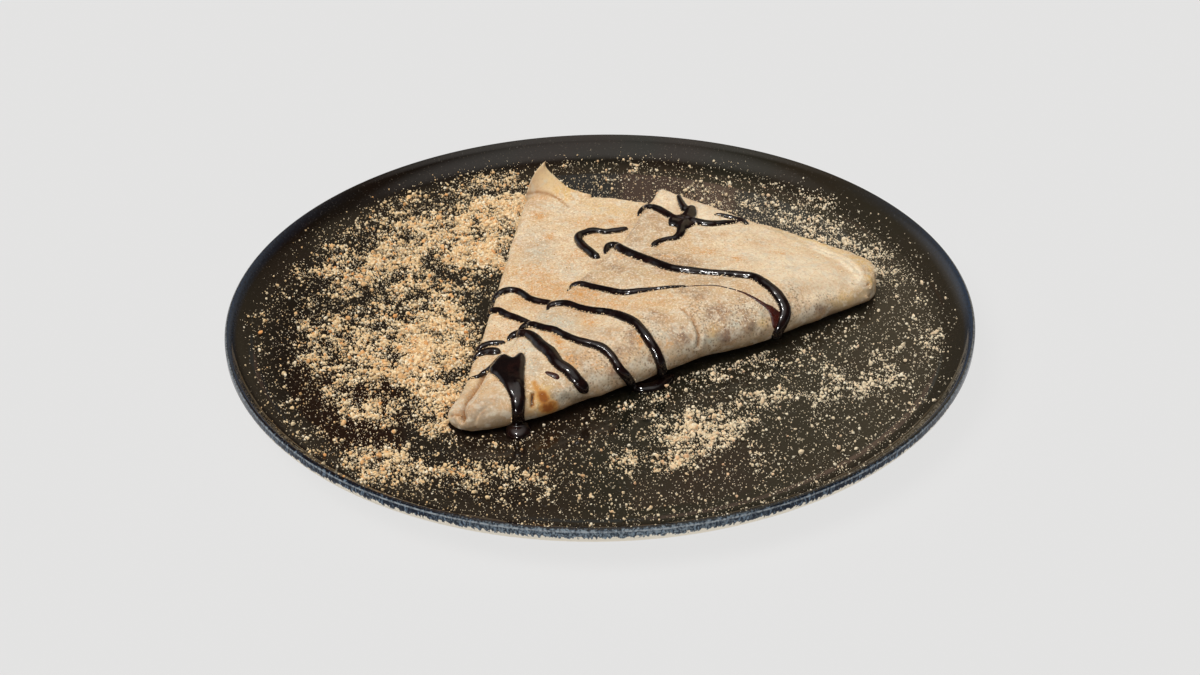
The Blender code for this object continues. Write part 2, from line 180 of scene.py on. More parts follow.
def plus(tree, first, second):
    """A sum, free to pass 1."""
    return wire(tree, "Math", {0: first, 1: second}, operation="ADD").outputs[0]


def blend(tree, share, first, second):
    """One colour over another, by a share from 0 to 1."""
    made = wire(tree, "Mix", {0: share, 6: first, 7: second}, data_type="RGBA")
    return made.outputs[2]


def painted(tree, name):
    """A value painted on the points of the mesh."""
    return wire(tree, "Attribute", attribute_name=name).outputs["Fac"]


def roughen(tree, shader, height, strength, distance):
    """Relief too fine for the mesh, from a height between 0 and 1."""
    sockets = {"Height": height, "Strength": strength, "Distance": distance}
    tree.links.new(wire(tree, "Bump", sockets).outputs["Normal"], shader.inputs["Normal"])


print("cream, in linear light:", [round(c, 2) for c in shade(217, 190, 152)[:3]])

# %% [markdown]
# ## The form of the fold
#
# The wedge is described from the point where its two edges would meet. A place on it is a
# *reach*, the distance from that point, and a distance *across* from the front line. The sizes
# are those of the solid model: a plump fold along the front, a flap over it, and a lower packet
# on the left. A curve through a few sizes, instead of straight runs between them, keeps the
# skin free of kinks.

# %% Sizes of the fold
FLOOR_TOP = 10 * MM
APEX = np.array((-54 * MM, -80 * MM))
FRONT_ANGLE = math.radians(30.7)
LEFT_ANGLE = math.radians(80.9)
PANCAKE_RADIUS = 172 * MM
TIP_START = 12.4 * MM
TIP_FULL = 21 * MM
CLEARANCE = 0.3 * MM

# Heights and widths in mm, each as (reach, size)
RIDGE_HEIGHT = [(10, 9), (25, 13.5), (50, 16.5), (80, 18.5), (110, 19.5), (130, 18), (150, 15.5),
                (168, 12), (184, 9)]
FLAP_EDGE_HEIGHT = [(10, 8.5), (25, 12.5), (50, 14.5), (90, 14.5), (130, 14.5), (160, 16),
                    (184, 17)]
PACKET_HEIGHT = [(10, 6.5), (30, 9), (70, 9.5), (120, 9), (184, 8)]
LEFT_HEIGHT = [(10, 6), (30, 7), (100, 7), (184, 6)]
FRONT_BULGE = [(10, 1.5), (40, 3.5), (100, 4), (150, 3.5), (184, 2)]
RIDGE_SETBACK = [(10, 5), (30, 9.5), (60, 12.5), (130, 13), (184, 9)]
# Where the flap's hem runs, as (reach in mm, angle in degrees)
FLAP_LINE = [(10, 60), (30, 64), (60, 65.2), (90, 64.5), (110, 63), (130, 62.2), (150, 63),
             (184, 63.6)]


def smooth_through(stations, position):
    """A smooth curve through (position, value) pairs, read at one position or at many."""
    places, values = (np.array(row, float) for row in zip(*stations))
    slopes = np.gradient(values, places)
    position = np.clip(position, places[0], places[-1])
    i = np.clip(np.searchsorted(places, position, side="right") - 1, 0, len(places) - 2)
    gap = places[i + 1] - places[i]
    t = (position - places[i]) / gap
    eased = values[i] * (1 + 2 * t) * (1 - t) ** 2 + values[i + 1] * t * t * (3 - 2 * t)
    return eased + gap * (slopes[i] * t * (1 - t) ** 2 - slopes[i + 1] * t * t * (1 - t))


def size_at(stations, reach):
    """A size in metres at a reach in metres, from stations in mm."""
    return smooth_through(stations, reach / MM) * MM


print("ridge at its highest:", round(max(height for _, height in RIDGE_HEIGHT), 1), "mm")

# %% [markdown]
# One section across the wedge runs from the outside of the front fold, over the ridge, down the
# flap to its hem, and along the packet to the left roll. It is cut into many columns: the mesh
# has to be fine enough for creases half a millimetre wide.

# %% One section of the skin
COLUMNS = {"front": 44, "flap": 100, "hem": 16, "packet": 70, "roll": 12}
# Near the tip the ridge, the hem and the roll are held to these shares of the flap or the width
RIDGE_MOST, HEM_MOST, ROLL_MOST = 0.6, 0.25, 0.12
HEM_WIDTH = 3.2 * MM
LEFT_ROLL = 3.5 * MM
# The widest line of the front, as a share of the ridge's height, and how far it is cut in below
EQUATOR_SHARE = 0.42
FRONT_UNDERCUT = 0.62
FRONT_FULLNESS = 0.9
FLAP_SAG = 1.3
SWELL = 0.35 * MM
SWELL_ALONG, SWELL_ACROSS = 11 * MM, 9 * MM
SLANT_SHARE, SLANT_ALONG, SLANT_ACROSS = 0.6, 6.5 * MM, 14 * MM


def upper_line(reach):
    """The across and the height of every column of the upper skin, at one reach."""
    width = reach * (LEFT_ANGLE - FRONT_ANGLE)
    flap = reach * (math.radians(smooth_through(FLAP_LINE, reach / MM)) - FRONT_ANGLE)
    ridge, edge = size_at(RIDGE_HEIGHT, reach), size_at(FLAP_EDGE_HEIGHT, reach)
    packet, left = size_at(PACKET_HEIGHT, reach), size_at(LEFT_HEIGHT, reach)
    bulge = size_at(FRONT_BULGE, reach)
    setback = min(size_at(RIDGE_SETBACK, reach), RIDGE_MOST * flap)
    equator = EQUATOR_SHARE * ridge
    hem = min(HEM_WIDTH, HEM_MOST * flap)
    roll = min(LEFT_ROLL, ROLL_MOST * width)
    turn = np.linspace(0, math.pi / 2, COLUMNS["front"], endpoint=False)
    rise = equator + (ridge - equator) * np.sin(turn) ** FRONT_FULLNESS
    stretches = [(-bulge + (setback + bulge) * (1 - np.cos(turn)), rise)]
    t = np.linspace(0, 1, COLUMNS["flap"], endpoint=False)
    stretches.append((setback + (flap - hem - setback) * t, ridge + (edge - ridge) * t**FLAP_SAG))
    turn = np.linspace(0, math.pi / 2, COLUMNS["hem"] + 1)
    stretches.append((flap - hem + hem * np.sin(turn), packet + (edge - packet) * np.cos(turn)))
    t = np.linspace(0, 1, COLUMNS["packet"] + 1)[1:]
    stretches.append((flap + (width - roll - flap) * t, packet + (left - packet) * t))
    turn = np.linspace(0, math.pi / 2, COLUMNS["roll"] + 1)[1:]
    stretches.append((width - roll + roll * np.sin(turn), 0.5 * left * (1 + np.cos(turn))))
    across, height = (np.concatenate(part) for part in zip(*stretches))
    return across, height


def section(reach):
    """The across, the top and the bottom of every column at one reach."""
    across, top = upper_line(reach)
    front_roll = FRONT_UNDERCUT * (across[COLUMNS["front"]] - across[0])
    left_roll = across[-1] - across[-1 - COLUMNS["roll"]]
    near_front = np.clip(1 - (across - across[0]) / front_roll, 0, 1)
    near_left = np.clip(1 - (across[-1] - across) / left_roll, 0, 1)
    bottom = CLEARANCE + (top[0] - CLEARANCE) * (1 - np.sqrt(1 - near_front**2))
    bottom += (top[-1] - CLEARANCE) * (1 - np.sqrt(1 - near_left**2))
    wave = np.sin(reach / SWELL_ALONG + 1.1) * np.sin(across / SWELL_ACROSS + 0.4)
    wave += SLANT_SHARE * np.sin(reach / SLANT_ALONG - across / SLANT_ACROSS)
    swell = SWELL * wave * np.minimum(1, top / size_at(RIDGE_HEIGHT, reach))
    return across, top + swell, bottom


across, top, bottom = section(100 * MM)
print("columns:", len(across), "highest:", round(top.max() / MM, 1), "mm")

# %% [markdown]
# The open edge at the back is where a folded crepe tells how it was made: the ends of its thin
# sheets lie on each other, none quite in line with the next. Four sheets make the packet and
# three more the flap. Each one here is a rounded lip, and a slow wave of its own moves it in and
# out.

# %% The open back edge
# How far the edge reaches, and how much its top sheet falls short, as (angle in degrees, mm)
BACK_REACH = [(30.7, 174), (31.5, 179), (33, 184.5), (35, 188), (37, 188), (42, 182.5),
              (49, 177.5), (55, 172), (62, 170), (65, 172), (81, 171)]
FLAP_SHORTFALL = [(30.7, 0), (33, 2), (37, 8.5), (42, 7), (48, 4.5), (53, 1), (66, 0), (81, 0)]
# The top sheet and the lowest one each take a sixth of the edge's height
EDGE_TAPER = 6
PACKET_SHEETS, FLAP_SHEETS = 4, 3
LIP_DEPTH, LIP_MIDDLE = 1.5 * MM, 0.75
# Each slow wave is its height in mm, its pace along the edge and its pace from level to level
EDGE_WAVES = [(0.5, 7, 5), (0.35, 19, 11)]
SHEET_WAVES = [(0.6, 5, 2.4), (0.35, 23, 1.7)]
RAGGED, FRAYED = 0.16, 0.1


def slow_waves(waves, angle, level):
    """How far waves move the edge out, in mm, at an angle and at a level of its height."""
    return sum(height * np.sin(along * angle + down * level) for height, along, down in waves)


def back_reach(angle, depth):
    """How far the edge reaches, from its top sheet (depth 0) to its lowest (depth 1)."""
    degrees = np.degrees(angle)
    reach = smooth_through(BACK_REACH, degrees)
    reach = reach - smooth_through(FLAP_SHORTFALL, degrees) * np.clip(1 - EDGE_TAPER * depth, 0, 1)
    ragged = RAGGED * np.sin(83 * angle + 3 * depth) * np.sin(31 * angle)
    ragged = ragged + FRAYED * np.sin(171 * angle)
    return (reach + slow_waves(EDGE_WAVES, angle, depth) + ragged) * MM


def sheet_ends(angle, height, top_height):
    """How far each height of the open edge stands out, in metres: a lip for every sheet."""
    packet = size_at(PACKET_HEIGHT, PANCAKE_RADIUS)
    upper = np.clip((height - packet) / np.maximum(top_height - packet, MM), 0, 1)
    sheet = PACKET_SHEETS * np.clip(height / packet, 0, 1) + FLAP_SHEETS * upper
    lip = LIP_DEPTH * (np.sqrt(np.abs(np.sin(math.pi * sheet))) - LIP_MIDDLE)
    return lip + slow_waves(SHEET_WAVES, angle, np.floor(sheet)) * MM


middle_reach = float(back_reach(math.radians(55), 0))
print("the edge reaches", round(middle_reach / MM), "mm in its middle")

# %% [markdown]
# A place on the wedge becomes a place on the plate by its angle and reach. The two long sides
# aren't quite straight: they are drawn in and let out by a few millimetres, and a dent marks
# where the sauce pools against the front.

# %% From the wedge to the plate and back
# How far the front and the left side are drawn in, as (reach, mm)
FRONT_DRAWN_IN = [(12, 2.4), (14, 2.8), (17, 3.5), (21, 3.1), (25, 1.8), (32, 1), (60, 0.8),
                  (85, 0.2), (105, -0.7), (125, -1), (145, 0.1), (160, 1.4), (184, 1.8)]
LEFT_DRAWN_IN = [(12, -3), (17, -2.6), (27, -0.2), (50, 0.8), (90, 0.9), (130, 0), (160, -0.5),
                 (184, -0.5)]
DENT_PLACE, DENT_DEPTH = 103 * MM, 2.5 * MM
DENT_LENGTH, DENT_WIDTH = 16 * MM, 30 * MM


def in_plan(reach, across):
    """The x and y of places on the wedge."""
    share = np.clip(across / (reach * (LEFT_ANGLE - FRONT_ANGLE)), 0, 1)
    near_front = np.clip(1 - np.maximum(0, across) / DENT_WIDTH, 0, 1)
    dent = DENT_DEPTH * near_front * np.exp(-(((reach - DENT_PLACE) / DENT_LENGTH) ** 2))
    drawn_in = size_at(FRONT_DRAWN_IN, reach) * (1 - share) ** 2
    drawn_in -= size_at(LEFT_DRAWN_IN, reach) * share**4
    angle = FRONT_ANGLE + (across + (dent + drawn_in)) / reach
    return APEX[0] + reach * np.cos(angle), APEX[1] + reach * np.sin(angle)


def wedge_places(points):
    """The reach, the angle and the distance across of points of the model."""
    outward = points[:, :2] - APEX
    reach = np.linalg.norm(outward, axis=1)
    angle = np.arctan2(outward[:, 1], outward[:, 0])
    return reach, angle, (angle - FRONT_ANGLE) * reach


right_corner = np.array(in_plan(184 * MM, 0)) / MM
print("the wedge's right corner is at", right_corner.round())

# %% [markdown]
# ## The skin as a grid
#
# A grid whose rows and columns follow the fold bends without a kink, and its points can be
# pushed in and out later. The sections are stacked from the tip to the back edge, above and
# below, and a strip of fine rows closes the open edge.

# %% Lay out the grid of the crepe
ROW_STEP = 0.62 * MM
TIP_ROWS = 16
TIP_BLUNTNESS = 0.12
# The last rows stand closer together, and the very last one lies a little lower
LAST_SHARES = (0.985, 0.992, 0.997, 1.0)
LAST_HEIGHT = 0.96


def shrink(across, top, bottom, scale):
    """A section drawn in towards its middle, to round off the tip."""
    middle, low = 0.5 * (across[0] + across[-1]), top[0]
    drawn_in = middle + scale * (across - middle)
    return drawn_in, low + scale * (top - low), np.maximum(CLEARANCE, low + scale * (bottom - low))


def row_shares():
    """Where the rows stand, as shares of the whole reach."""
    eased = np.linspace(0, 1, TIP_ROWS, endpoint=False) ** 2
    tip = (TIP_START + (TIP_FULL - TIP_START) * eased) / PANCAKE_RADIUS
    count = round((LAST_SHARES[0] * PANCAKE_RADIUS - TIP_FULL) / ROW_STEP)
    body = np.linspace(TIP_FULL / PANCAKE_RADIUS, LAST_SHARES[0], count, endpoint=False)
    return np.concatenate([tip, body, LAST_SHARES])


def stacked_sections():
    """Every point of the upper and of the lower skin, as two grids of (x, y, z)."""
    upper, lower = [], []
    for share in row_shares():
        reach = share * PANCAKE_RADIUS
        across, top, bottom = section(reach)
        if reach < TIP_FULL:
            fullness = (reach - TIP_START) / (TIP_FULL - TIP_START)
            scale = TIP_BLUNTNESS + (1 - TIP_BLUNTNESS) * math.sqrt(1 - (1 - fullness) ** 2)
            across, top, bottom = shrink(across, top, bottom, scale)
        angle = FRONT_ANGLE + np.maximum(0, across) / reach
        if share == 1.0:
            top = bottom + LAST_HEIGHT * (top - bottom)
        depth = np.zeros(len(across))
        depth[[0, -1]] = 0.5
        far = share * back_reach(angle, depth)
        upper.append(np.c_[(*in_plan(far, across * far / reach), FLOOR_TOP + top)])
        far = share * back_reach(angle, np.ones(len(across)))
        lower.append(np.c_[(*in_plan(far, across * far / reach), FLOOR_TOP + bottom)])
        lower[-1][[0, -1]] = upper[-1][[0, -1]]
    return np.array(upper), np.array(lower)


upper, lower = stacked_sections()
print("sections above and below:", len(upper), "of", upper.shape[1], "points each")

# %% [markdown]
# The open edge needs rows that stand closer than its thin sheets, or their lips would blur. At
# its front end the edge is a fold and not a cut, so there it only bellies out.

# %% Fill the open edge with fine rows
EDGE_ROWS = 60
OPEN_FROM = math.radians(6)
END_BELLY = 2.5 * MM


def open_edge(tops, bottoms):
    """The rows between the last upper and the last lower section."""
    rows = []
    angle = wedge_places(tops)[1]
    opened = np.clip((angle - FRONT_ANGLE) / OPEN_FROM, 0, 1)
    for step in range(1, EDGE_ROWS):
        depth = step / EDGE_ROWS
        row = tops + (bottoms - tops) * depth
        lip = sheet_ends(angle, row[:, 2] - FLOOR_TOP, tops[:, 2] - FLOOR_TOP)
        settle = min(1.0, EDGE_TAPER * depth, EDGE_TAPER * (1 - depth))
        reach = back_reach(angle, depth) + lip * opened * settle
        reach += END_BELLY * 4 * depth * (1 - depth) * (1 - opened)
        row[:, 0] = APEX[0] + reach * np.cos(angle)
        row[:, 1] = APEX[1] + reach * np.sin(angle)
        row[[0, -1]] = tops[[0, -1]]
        rows.append(row)
    return np.array(rows)


def grid_faces(rows, columns, start=0):
    """The four-sided faces of a grid of points numbered row by row."""
    corner = start + (np.arange(rows - 1)[:, None] * columns + np.arange(columns - 1)).ravel()
    return np.c_[corner, corner + columns, corner + columns + 1, corner + 1]


skin_rows = np.concatenate([upper, open_edge(upper[-1], lower[-1]), lower[::-1]])
print("rows and columns of the skin:", skin_rows.shape[:2])

# %% [markdown]
# The rows form one long ribbon: over the top, down the open edge and back underneath. Its two
# long sides touch along the front and the left fold, so merging the points that coincide closes
# it to one skin.

# %% Close the skin
def closed_mesh(name, points, faces):
    """A mesh whose coinciding points are merged and whose faces all look out."""
    draft = bpy.data.meshes.new(name)
    draft.from_pydata(points.tolist(), [], faces.tolist())
    work = bmesh.new()
    work.from_mesh(draft)
    bmesh.ops.remove_doubles(work, verts=work.verts, dist=0.002 * MM)
    bmesh.ops.holes_fill(work, edges=[e for e in work.edges if e.is_boundary])
    bmesh.ops.recalc_face_normals(work, faces=work.faces)
    work.to_mesh(draft)
    work.free()
    return draft


def smooth_object(name, data):
    """An object whose faces shade into each other."""
    data.shade_smooth()
    return add_object(name, data)


def read_points(data):
    """The places of a mesh's points, one row for each."""
    points = np.empty(len(data.vertices) * 3)
    data.vertices.foreach_get("co", points)
    return points.reshape(-1, 3)


def read_normals(data):
    """The directions in which a mesh's points face."""
    normals = np.empty(len(data.vertices) * 3)
    data.vertex_normals.foreach_get("vector", normals)
    return normals.reshape(-1, 3)


rows, columns = skin_rows.shape[:2]
skin_data = closed_mesh("crepe_skin", skin_rows.reshape(-1, 3), grid_faces(rows, columns))
sides_met = np.bincount([loop.edge_index for loop in skin_data.loops])
print("points:", len(skin_data.vertices), "open sides:", int((sides_met != 2).sum()))

# %% [markdown]
# ## Marks on the skin
#
# A pancake is never plain. The filling shows through the thin sheet as grey-mauve patches,
# orange crumb dust lies in drifts, the griddle left a brown spot or two, and steam left pores in
# bands. Each kind of mark becomes a value painted on the points: a few soft ellipses, placed
# where the photograph shows them. Painting by place instead of by noise alone puts the patches
# where the eye expects them, and the noise in the finish then breaks up their edges.

# %% Paint soft ellipses by place
PATCH_EDGE = 1.4
FACING_GAIN, FACING_START = 4, 0.6


def in_ellipse(x, y, middle, halves, turn):
    """How far out places lie in a turned ellipse, squared: 0 in its middle and 1 on its line."""
    along, aside = math.cos(math.radians(turn)), math.sin(math.radians(turn))
    right, down = x - middle[0], y - middle[1]
    u = (right * along + down * aside) / halves[0]
    v = (down * along - right * aside) / halves[1]
    return u * u + v * v


def painted_patches(column, row, patches):
    """The strongest of several soft ellipses at each place."""
    value = np.zeros(len(column))
    for middle, halves, turn, strength in patches:
        out = in_ellipse(column, row, middle, halves, turn)
        value = np.maximum(value, strength * np.exp(-(out**PATCH_EDGE)))
    return value


def faces_eye(normals):
    """1 where a surface faces the eye, and 0 where it faces away, so no mark runs through."""
    return np.clip(normals @ np.array(eye_back) * FACING_GAIN + FACING_START, 0, 1)


points, normals = read_points(skin_data), read_normals(skin_data)
print("points that face the eye:", int((faces_eye(normals) > 0.5).sum()))

# %% [markdown]
# The lists of ellipses follow, one for each kind of mark, in the photograph's columns and rows.
# A strength above 1 gives a patch with a full, even middle, because the finish holds every mark
# to 1 before it colours the cream.

# %% Where the filling shows through
# Each patch is (column, row), (half width, half height), turn in degrees, strength
FILLING = [
    ((668, 262), (44, 13), 8, 0.8),
    ((648, 226), (22, 9), -15, 0.5),
    ((751, 258), (11, 6), 0, 0.7),
    ((617, 268), (24, 10), 12, 0.7),
    ((700, 279), (40, 7), 4, 0.45),
    ((692, 292), (22, 8), 10, 0.8),
    ((722, 313), (14, 10), 20, 1.0),
    ((656, 316), (15, 7), 20, 0.8),
    ((681, 336), (15, 12), 40, 0.9),
    ((748, 325), (8, 9), 0, 0.9),
    ((632, 336), (7, 9), 30, 0.8),
    ((621, 350), (11, 7), 0, 0.7),
    ((606, 332), (16, 6), 15, 0.45),
    ((614, 371), (10, 7), 0, 0.65),
    ((558, 394), (10, 7), 0, 0.7),
    ((534, 366), (7, 12), 10, 0.55),
    ((574, 356), (13, 8), 15, 0.5),
    ((538, 204), (16, 8), 0, 0.35),
    ((540, 250), (18, 13), -20, 0.35),
    ((476, 403), (7, 5), 0, 0.6),
    # This wide patch over the tip is partly painted shade: it darkens the rounded tip as a whole
    ((468, 408), (26, 20), -25, 0.55),
    ((493, 398), (7, 5), 0, 0.4),
    ((724, 335), (10, 9), 0, 1.0),
    ((590, 335), (9, 6), 20, 0.5),
    ((818, 305), (16, 8), -15, 0.45),
    ((800, 283), (20, 6), 0, 0.3),
]
filled = faces_eye(normals) * painted_patches(*photo_places(points), FILLING)
print("points with filling behind them:", int((filled > 0.3).sum()))

# %% Where orange dust lies, and where the griddle browned the batter
ORANGE_DUST = [
    ((545, 287), (28, 10), 10, 0.8),
    ((528, 273), (26, 10), -5, 0.5),
    ((577, 256), (15, 9), 0, 0.6),
    ((580, 294), (20, 8), 5, 1.0),
    ((538, 216), (8, 5), 0, 0.9),
    ((549, 236), (6, 4), 0, 0.8),
    ((611, 221), (7, 3), 0, 0.8),
    ((587, 223), (14, 7), 0, 0.4),
    ((703, 252), (16, 4), 0, 0.8),
    ((666, 258), (10, 3), 0, 0.6),
    ((738, 258), (8, 3), 0, 0.6),
    ((778, 253), (10, 3), 0, 0.7),
    ((621, 256), (9, 3), 0, 0.6),
    ((559, 341), (10, 5), 55, 1.0),
    ((520, 300), (9, 5), 10, 0.7),
    ((572, 359), (8, 5), 50, 0.9),
    ((545, 331), (9, 4), 20, 0.7),
    ((590, 322), (12, 4), 10, 0.6),
    ((598, 366), (6, 5), 0, 0.6),
    ((668, 345), (8, 5), 0, 0.5),
    ((640, 341), (5, 8), -15, 1.0),
    ((506, 317), (12, 5), 15, 0.6),
    ((500, 336), (12, 8), 0, 0.5),
    ((610, 302), (32, 7), 8, 0.5),
    ((545, 196), (12, 3), 15, 0.4),
    ((660, 300), (30, 6), 0, 0.35),
]
TOAST = [
    ((537, 387), (4, 8), -30, 0.8),
    ((543, 397), (6, 9), -32, 1.1),
    ((549, 407), (10, 6), -15, 1.3),
    ((531, 412), (5, 2), -5, 0.4),
    ((559, 342), (5, 4), 55, 0.4),
    ((541, 217), (4, 3), 20, 0.5),
    ((549, 236), (5, 3), 0, 0.4),
    ((611, 221), (5, 3), 0, 0.45),
    ((546, 275), (10, 3), 0, 0.35),
    ((580, 294), (9, 3), 5, 0.45),
    ((519, 300), (6, 4), 10, 0.4),
    ((640, 341), (4, 6), -15, 0.4),
]
print("patches of dust:", len(ORANGE_DUST), "of toast:", len(TOAST))

# %% Where the batter is yellow with egg, where it stayed pale, and where light is painted
YELLOW = [
    ((542, 397), (17, 20), -30, 0.9),
    ((715, 334), (6, 9), 10, 0.8),
    ((763, 322), (6, 5), 0, 0.7),
    ((846, 297), (22, 8), -20, 0.7),
    ((815, 243), (40, 6), 22, 0.8),
    ((852, 259), (20, 5), 18, 1.0),
    ((869, 276), (5, 12), 0, 1.0),
    ((560, 186), (22, 12), 30, 1.1),
    ((605, 208), (28, 8), 10, 0.75),
]
# Most pale patches are painted light: a painted highlight along the right fold's rounded edge, and
# painted light on the flap's right side, the peak and the front right. Those at the curled corner
# and along the back strip are pale batter.
PALE_AND_LIT = [
    ((822, 250), (24, 4), 24, 1.5),
    ((848, 264), (13, 5), 42, 1.9),
    ((859, 276), (9, 4), 58, 1.9),
    ((853, 282), (9, 9), 0, 0.8),
    ((785, 265), (62, 17), 14, 1.0),
    ((667, 200), (16, 10), 0, 0.9),
    ((548, 182), (16, 14), 0, 0.4),
    ((612, 203), (40, 6), 7, 0.35),
    ((708, 216), (40, 10), 14, 1.0),
    ((822, 294), (30, 10), -18, 0.8),
    ((525, 350), (12, 6), 20, 0.4),
    ((580, 250), (24, 14), 0, 0.25),
]
print("yellow patches:", len(YELLOW), "pale ones:", len(PALE_AND_LIT))

# %% Pores, milky patches, and where no flour lies
PORES = [
    ((700, 322), (10, 28), -10, 1.0),
    ((652, 352), (12, 22), 10, 1.0),
    ((812, 306), (30, 10), -18, 0.5),
    ((790, 300), (10, 20), 0, 0.6),
    ((640, 330), (30, 24), 0, 0.45),
    ((600, 360), (44, 22), 0, 0.4),
    ((735, 315), (32, 20), 0, 0.5),
    ((690, 288), (30, 10), 0, 0.35),
    ((592, 388), (50, 9), -17, 0.45),
    ((690, 354), (46, 8), -20, 0.6),
    ((765, 326), (40, 8), -18, 0.5),
]
MILKY = [
    ((558, 322), (22, 8), 15, 1.0),
    ((526, 350), (10, 9), 30, 0.9),
    ((531, 366), (8, 10), 0, 0.8),
    ((578, 384), (11, 9), 0, 0.6),
    ((562, 395), (9, 7), 0, 0.55),
    ((596, 378), (10, 7), 0, 0.8),
    ((606, 356), (12, 6), 20, 0.6),
    ((660, 332), (14, 9), 30, 0.7),
    ((708, 341), (12, 6), -20, 0.8),
    ((735, 322), (9, 8), 0, 0.8),
    ((760, 312), (9, 10), 0, 0.6),
    ((538, 254), (14, 16), -10, 0.75),
    ((570, 268), (16, 9), 15, 0.7),
    ((555, 206), (18, 6), 10, 0.6),
    ((538, 232), (10, 8), 0, 0.4),
]
SMOOTH = [
    ((475, 400), (44, 34), -30, 0.9),
    ((820, 270), (80, 36), 15, 0.75),
    ((700, 215), (60, 16), 14, 0.6),
    ((620, 350), (90, 40), -10, 0.55),
    ((545, 180), (30, 22), 0, 0.7),
]
print("patches of pores:", len(PORES), "milky ones:", len(MILKY), "smooth ones:", len(SMOOTH))

# %% [markdown]
# Creases are lines and not patches. Each one is a short route drawn on the photograph and laid
# on the skin. Points near it sink, those a little further off rise, as a folded sheet does. The
# deepest marks the wedge's rounded point, where the flap wraps round the packet.

# %% Creases pressed into the skin
# Each crease is its route in columns and rows, its half width, depth and lip in mm, and its
# painted shade, which turns to the dark of an open slit from 1.6 up
CREASES = {
    "tip_fold": ([(484, 374), (477, 386), (469, 397), (466, 406), (463, 414), (463, 419)],
                 1.1, 2.2, 0.1, 1.3),
    "tip_mouth": ([(450, 416), (457, 414), (463, 414)], 0.7, 1.2, 0.1, 1.2),
    "front_arc": ([(683, 309), (691, 316), (696, 325), (699, 335), (698, 345)],
                  0.8, 0.9, 0.3, 1.1),
    "corner_crease": ([(527, 194), (537, 192), (549, 194), (559, 199), (569, 207)],
                      0.7, 0.4, 0.1, 0.8),
    "slit": ([(533, 394), (533, 400), (533, 406)], 0.7, 1.4, 0.0, 3.0),
    "right_fold": ([(800, 242), (820, 250), (838, 256), (851, 265), (861, 274), (868, 284)],
                   0.8, 0.15, 0.35, 0.0),
    "right_nick": ([(864, 286), (869, 284)], 0.5, 0.4, 0.0, 0.9),
    "front_tuck": ([(566, 400), (578, 402), (592, 399)], 1.6, 0.4, 0.2, 0.1),
    "hem_tuck": ([(598, 262), (580, 280), (562, 296)], 0.9, 0.35, 0.2, 0.1),
    "face_fold": ([(742, 300), (752, 314), (756, 330)], 1.4, 0.4, 0.25, 0.1),
}
ROUTE_STEP = 0.4 * MM
ROUTE_MARGIN = 8 * MM
OUT_OF_REACH = 1.0
# A crease's lip stands 2.2 half widths away from it, and its painted shade is narrower than its
# groove
LIP_AWAY = 2.2
SHADE_NARROWER = 1.3
# Where a ray misses, the nearest point is looked for at these distances about the plate, in mm
RAY_OFFSETS = range(-120, 121, 2)


def on_surface(tree, column, row):
    """The point of a surface that shows at a place of the photograph, or the nearest one."""
    ray = photo_ray(column, row)
    place, normal, _, _ = tree.ray_cast(eye, ray)
    if place is None:
        along_ray = [eye + ray * (EYE_DISTANCE + offset * MM) for offset in RAY_OFFSETS]
        tries = [tree.find_nearest(start) for start in along_ray]
        place, normal, _, _ = min(tries, key=lambda found: found[3])
    return place, normal


def laid_route(tree, route):
    """Points on a surface along a route of (column, row) places, about ROUTE_STEP apart."""
    places = [on_surface(tree, *place)[0] for place in route]
    laid = []
    for start, end in zip(places, places[1:]):
        count = max(1, round((end - start).length / ROUTE_STEP))
        laid += [start.lerp(end, i / count) for i in range(count)]
    return np.array(laid + [places[-1]])


def distance_to(points, route):
    """How far each point is from a route of points, where it is near one at all."""
    low, high = route.min(0) - ROUTE_MARGIN, route.max(0) + ROUTE_MARGIN
    close = (points > low).all(1) & (points < high).all(1)
    chosen = points[close]
    gaps = np.full(len(chosen), OUT_OF_REACH)
    for point in route:
        gaps = np.minimum(gaps, np.linalg.norm(chosen - point, axis=1))
    nearest = np.full(len(points), OUT_OF_REACH)
    nearest[close] = gaps
    return nearest


def surface_tree(data):
    """A mesh as a search tree, which finds where rays meet it."""
    faces = [tuple(face.vertices) for face in data.polygons]
    return BVHTree.FromPolygons([point.co for point in data.vertices], faces)


skin_tree = surface_tree(skin_data)
sunk = np.zeros(len(points))
crease_shade_mark = np.zeros(len(points))
# Each crease sinks, and gets painted shade along its groove
for route, half_width, depth, lip, crease_shade in CREASES.values():
    gap = distance_to(points, laid_route(skin_tree, route)) / (half_width * MM)
    sunk -= depth * MM * np.exp(-(gap**2)) - lip * MM * np.exp(-((gap - LIP_AWAY) ** 2))
    crease_shaded = crease_shade * np.exp(-((gap * SHADE_NARROWER) ** 2))
    crease_shade_mark = np.maximum(crease_shade_mark, crease_shaded)
print("creases:", len(CREASES), "deepest:", round(-sunk.min() / MM, 2), "mm")

# %% [markdown]
# The sheet is slack between its folds. Soft lumps of filling push it up from below, long shallow
# puckers run in from the front, and the batter itself has a fine uneven skin. Three noises of
# different sizes do that. They move the points along their own normals, so that the relief is
# in the mesh and shows at the outline too.

# %% Lumps, puckers and the fine skin
LUMP_SIZE, LUMP_HEIGHT = 9 * MM, 0.5 * MM
PUCKER_SIZE, PUCKER_HEIGHT = 4.2 * MM, 0.24 * MM
PUCKER_STRETCH = 0.45
SKIN_SIZE, SKIN_HEIGHT = 1.4 * MM, 0.07 * MM
FILLING_HEIGHT = 0.3 * MM
# Small pleats stand side by side along the foot of the front, at a spacing that drifts
PLEAT_HEIGHT, PLEAT_SPACING, PLEAT_DRIFT = 0.22 * MM, 2.9 * MM, 13 * MM
FRONT_DEPTH = 14 * MM
FOOT_HEIGHT = 9 * MM
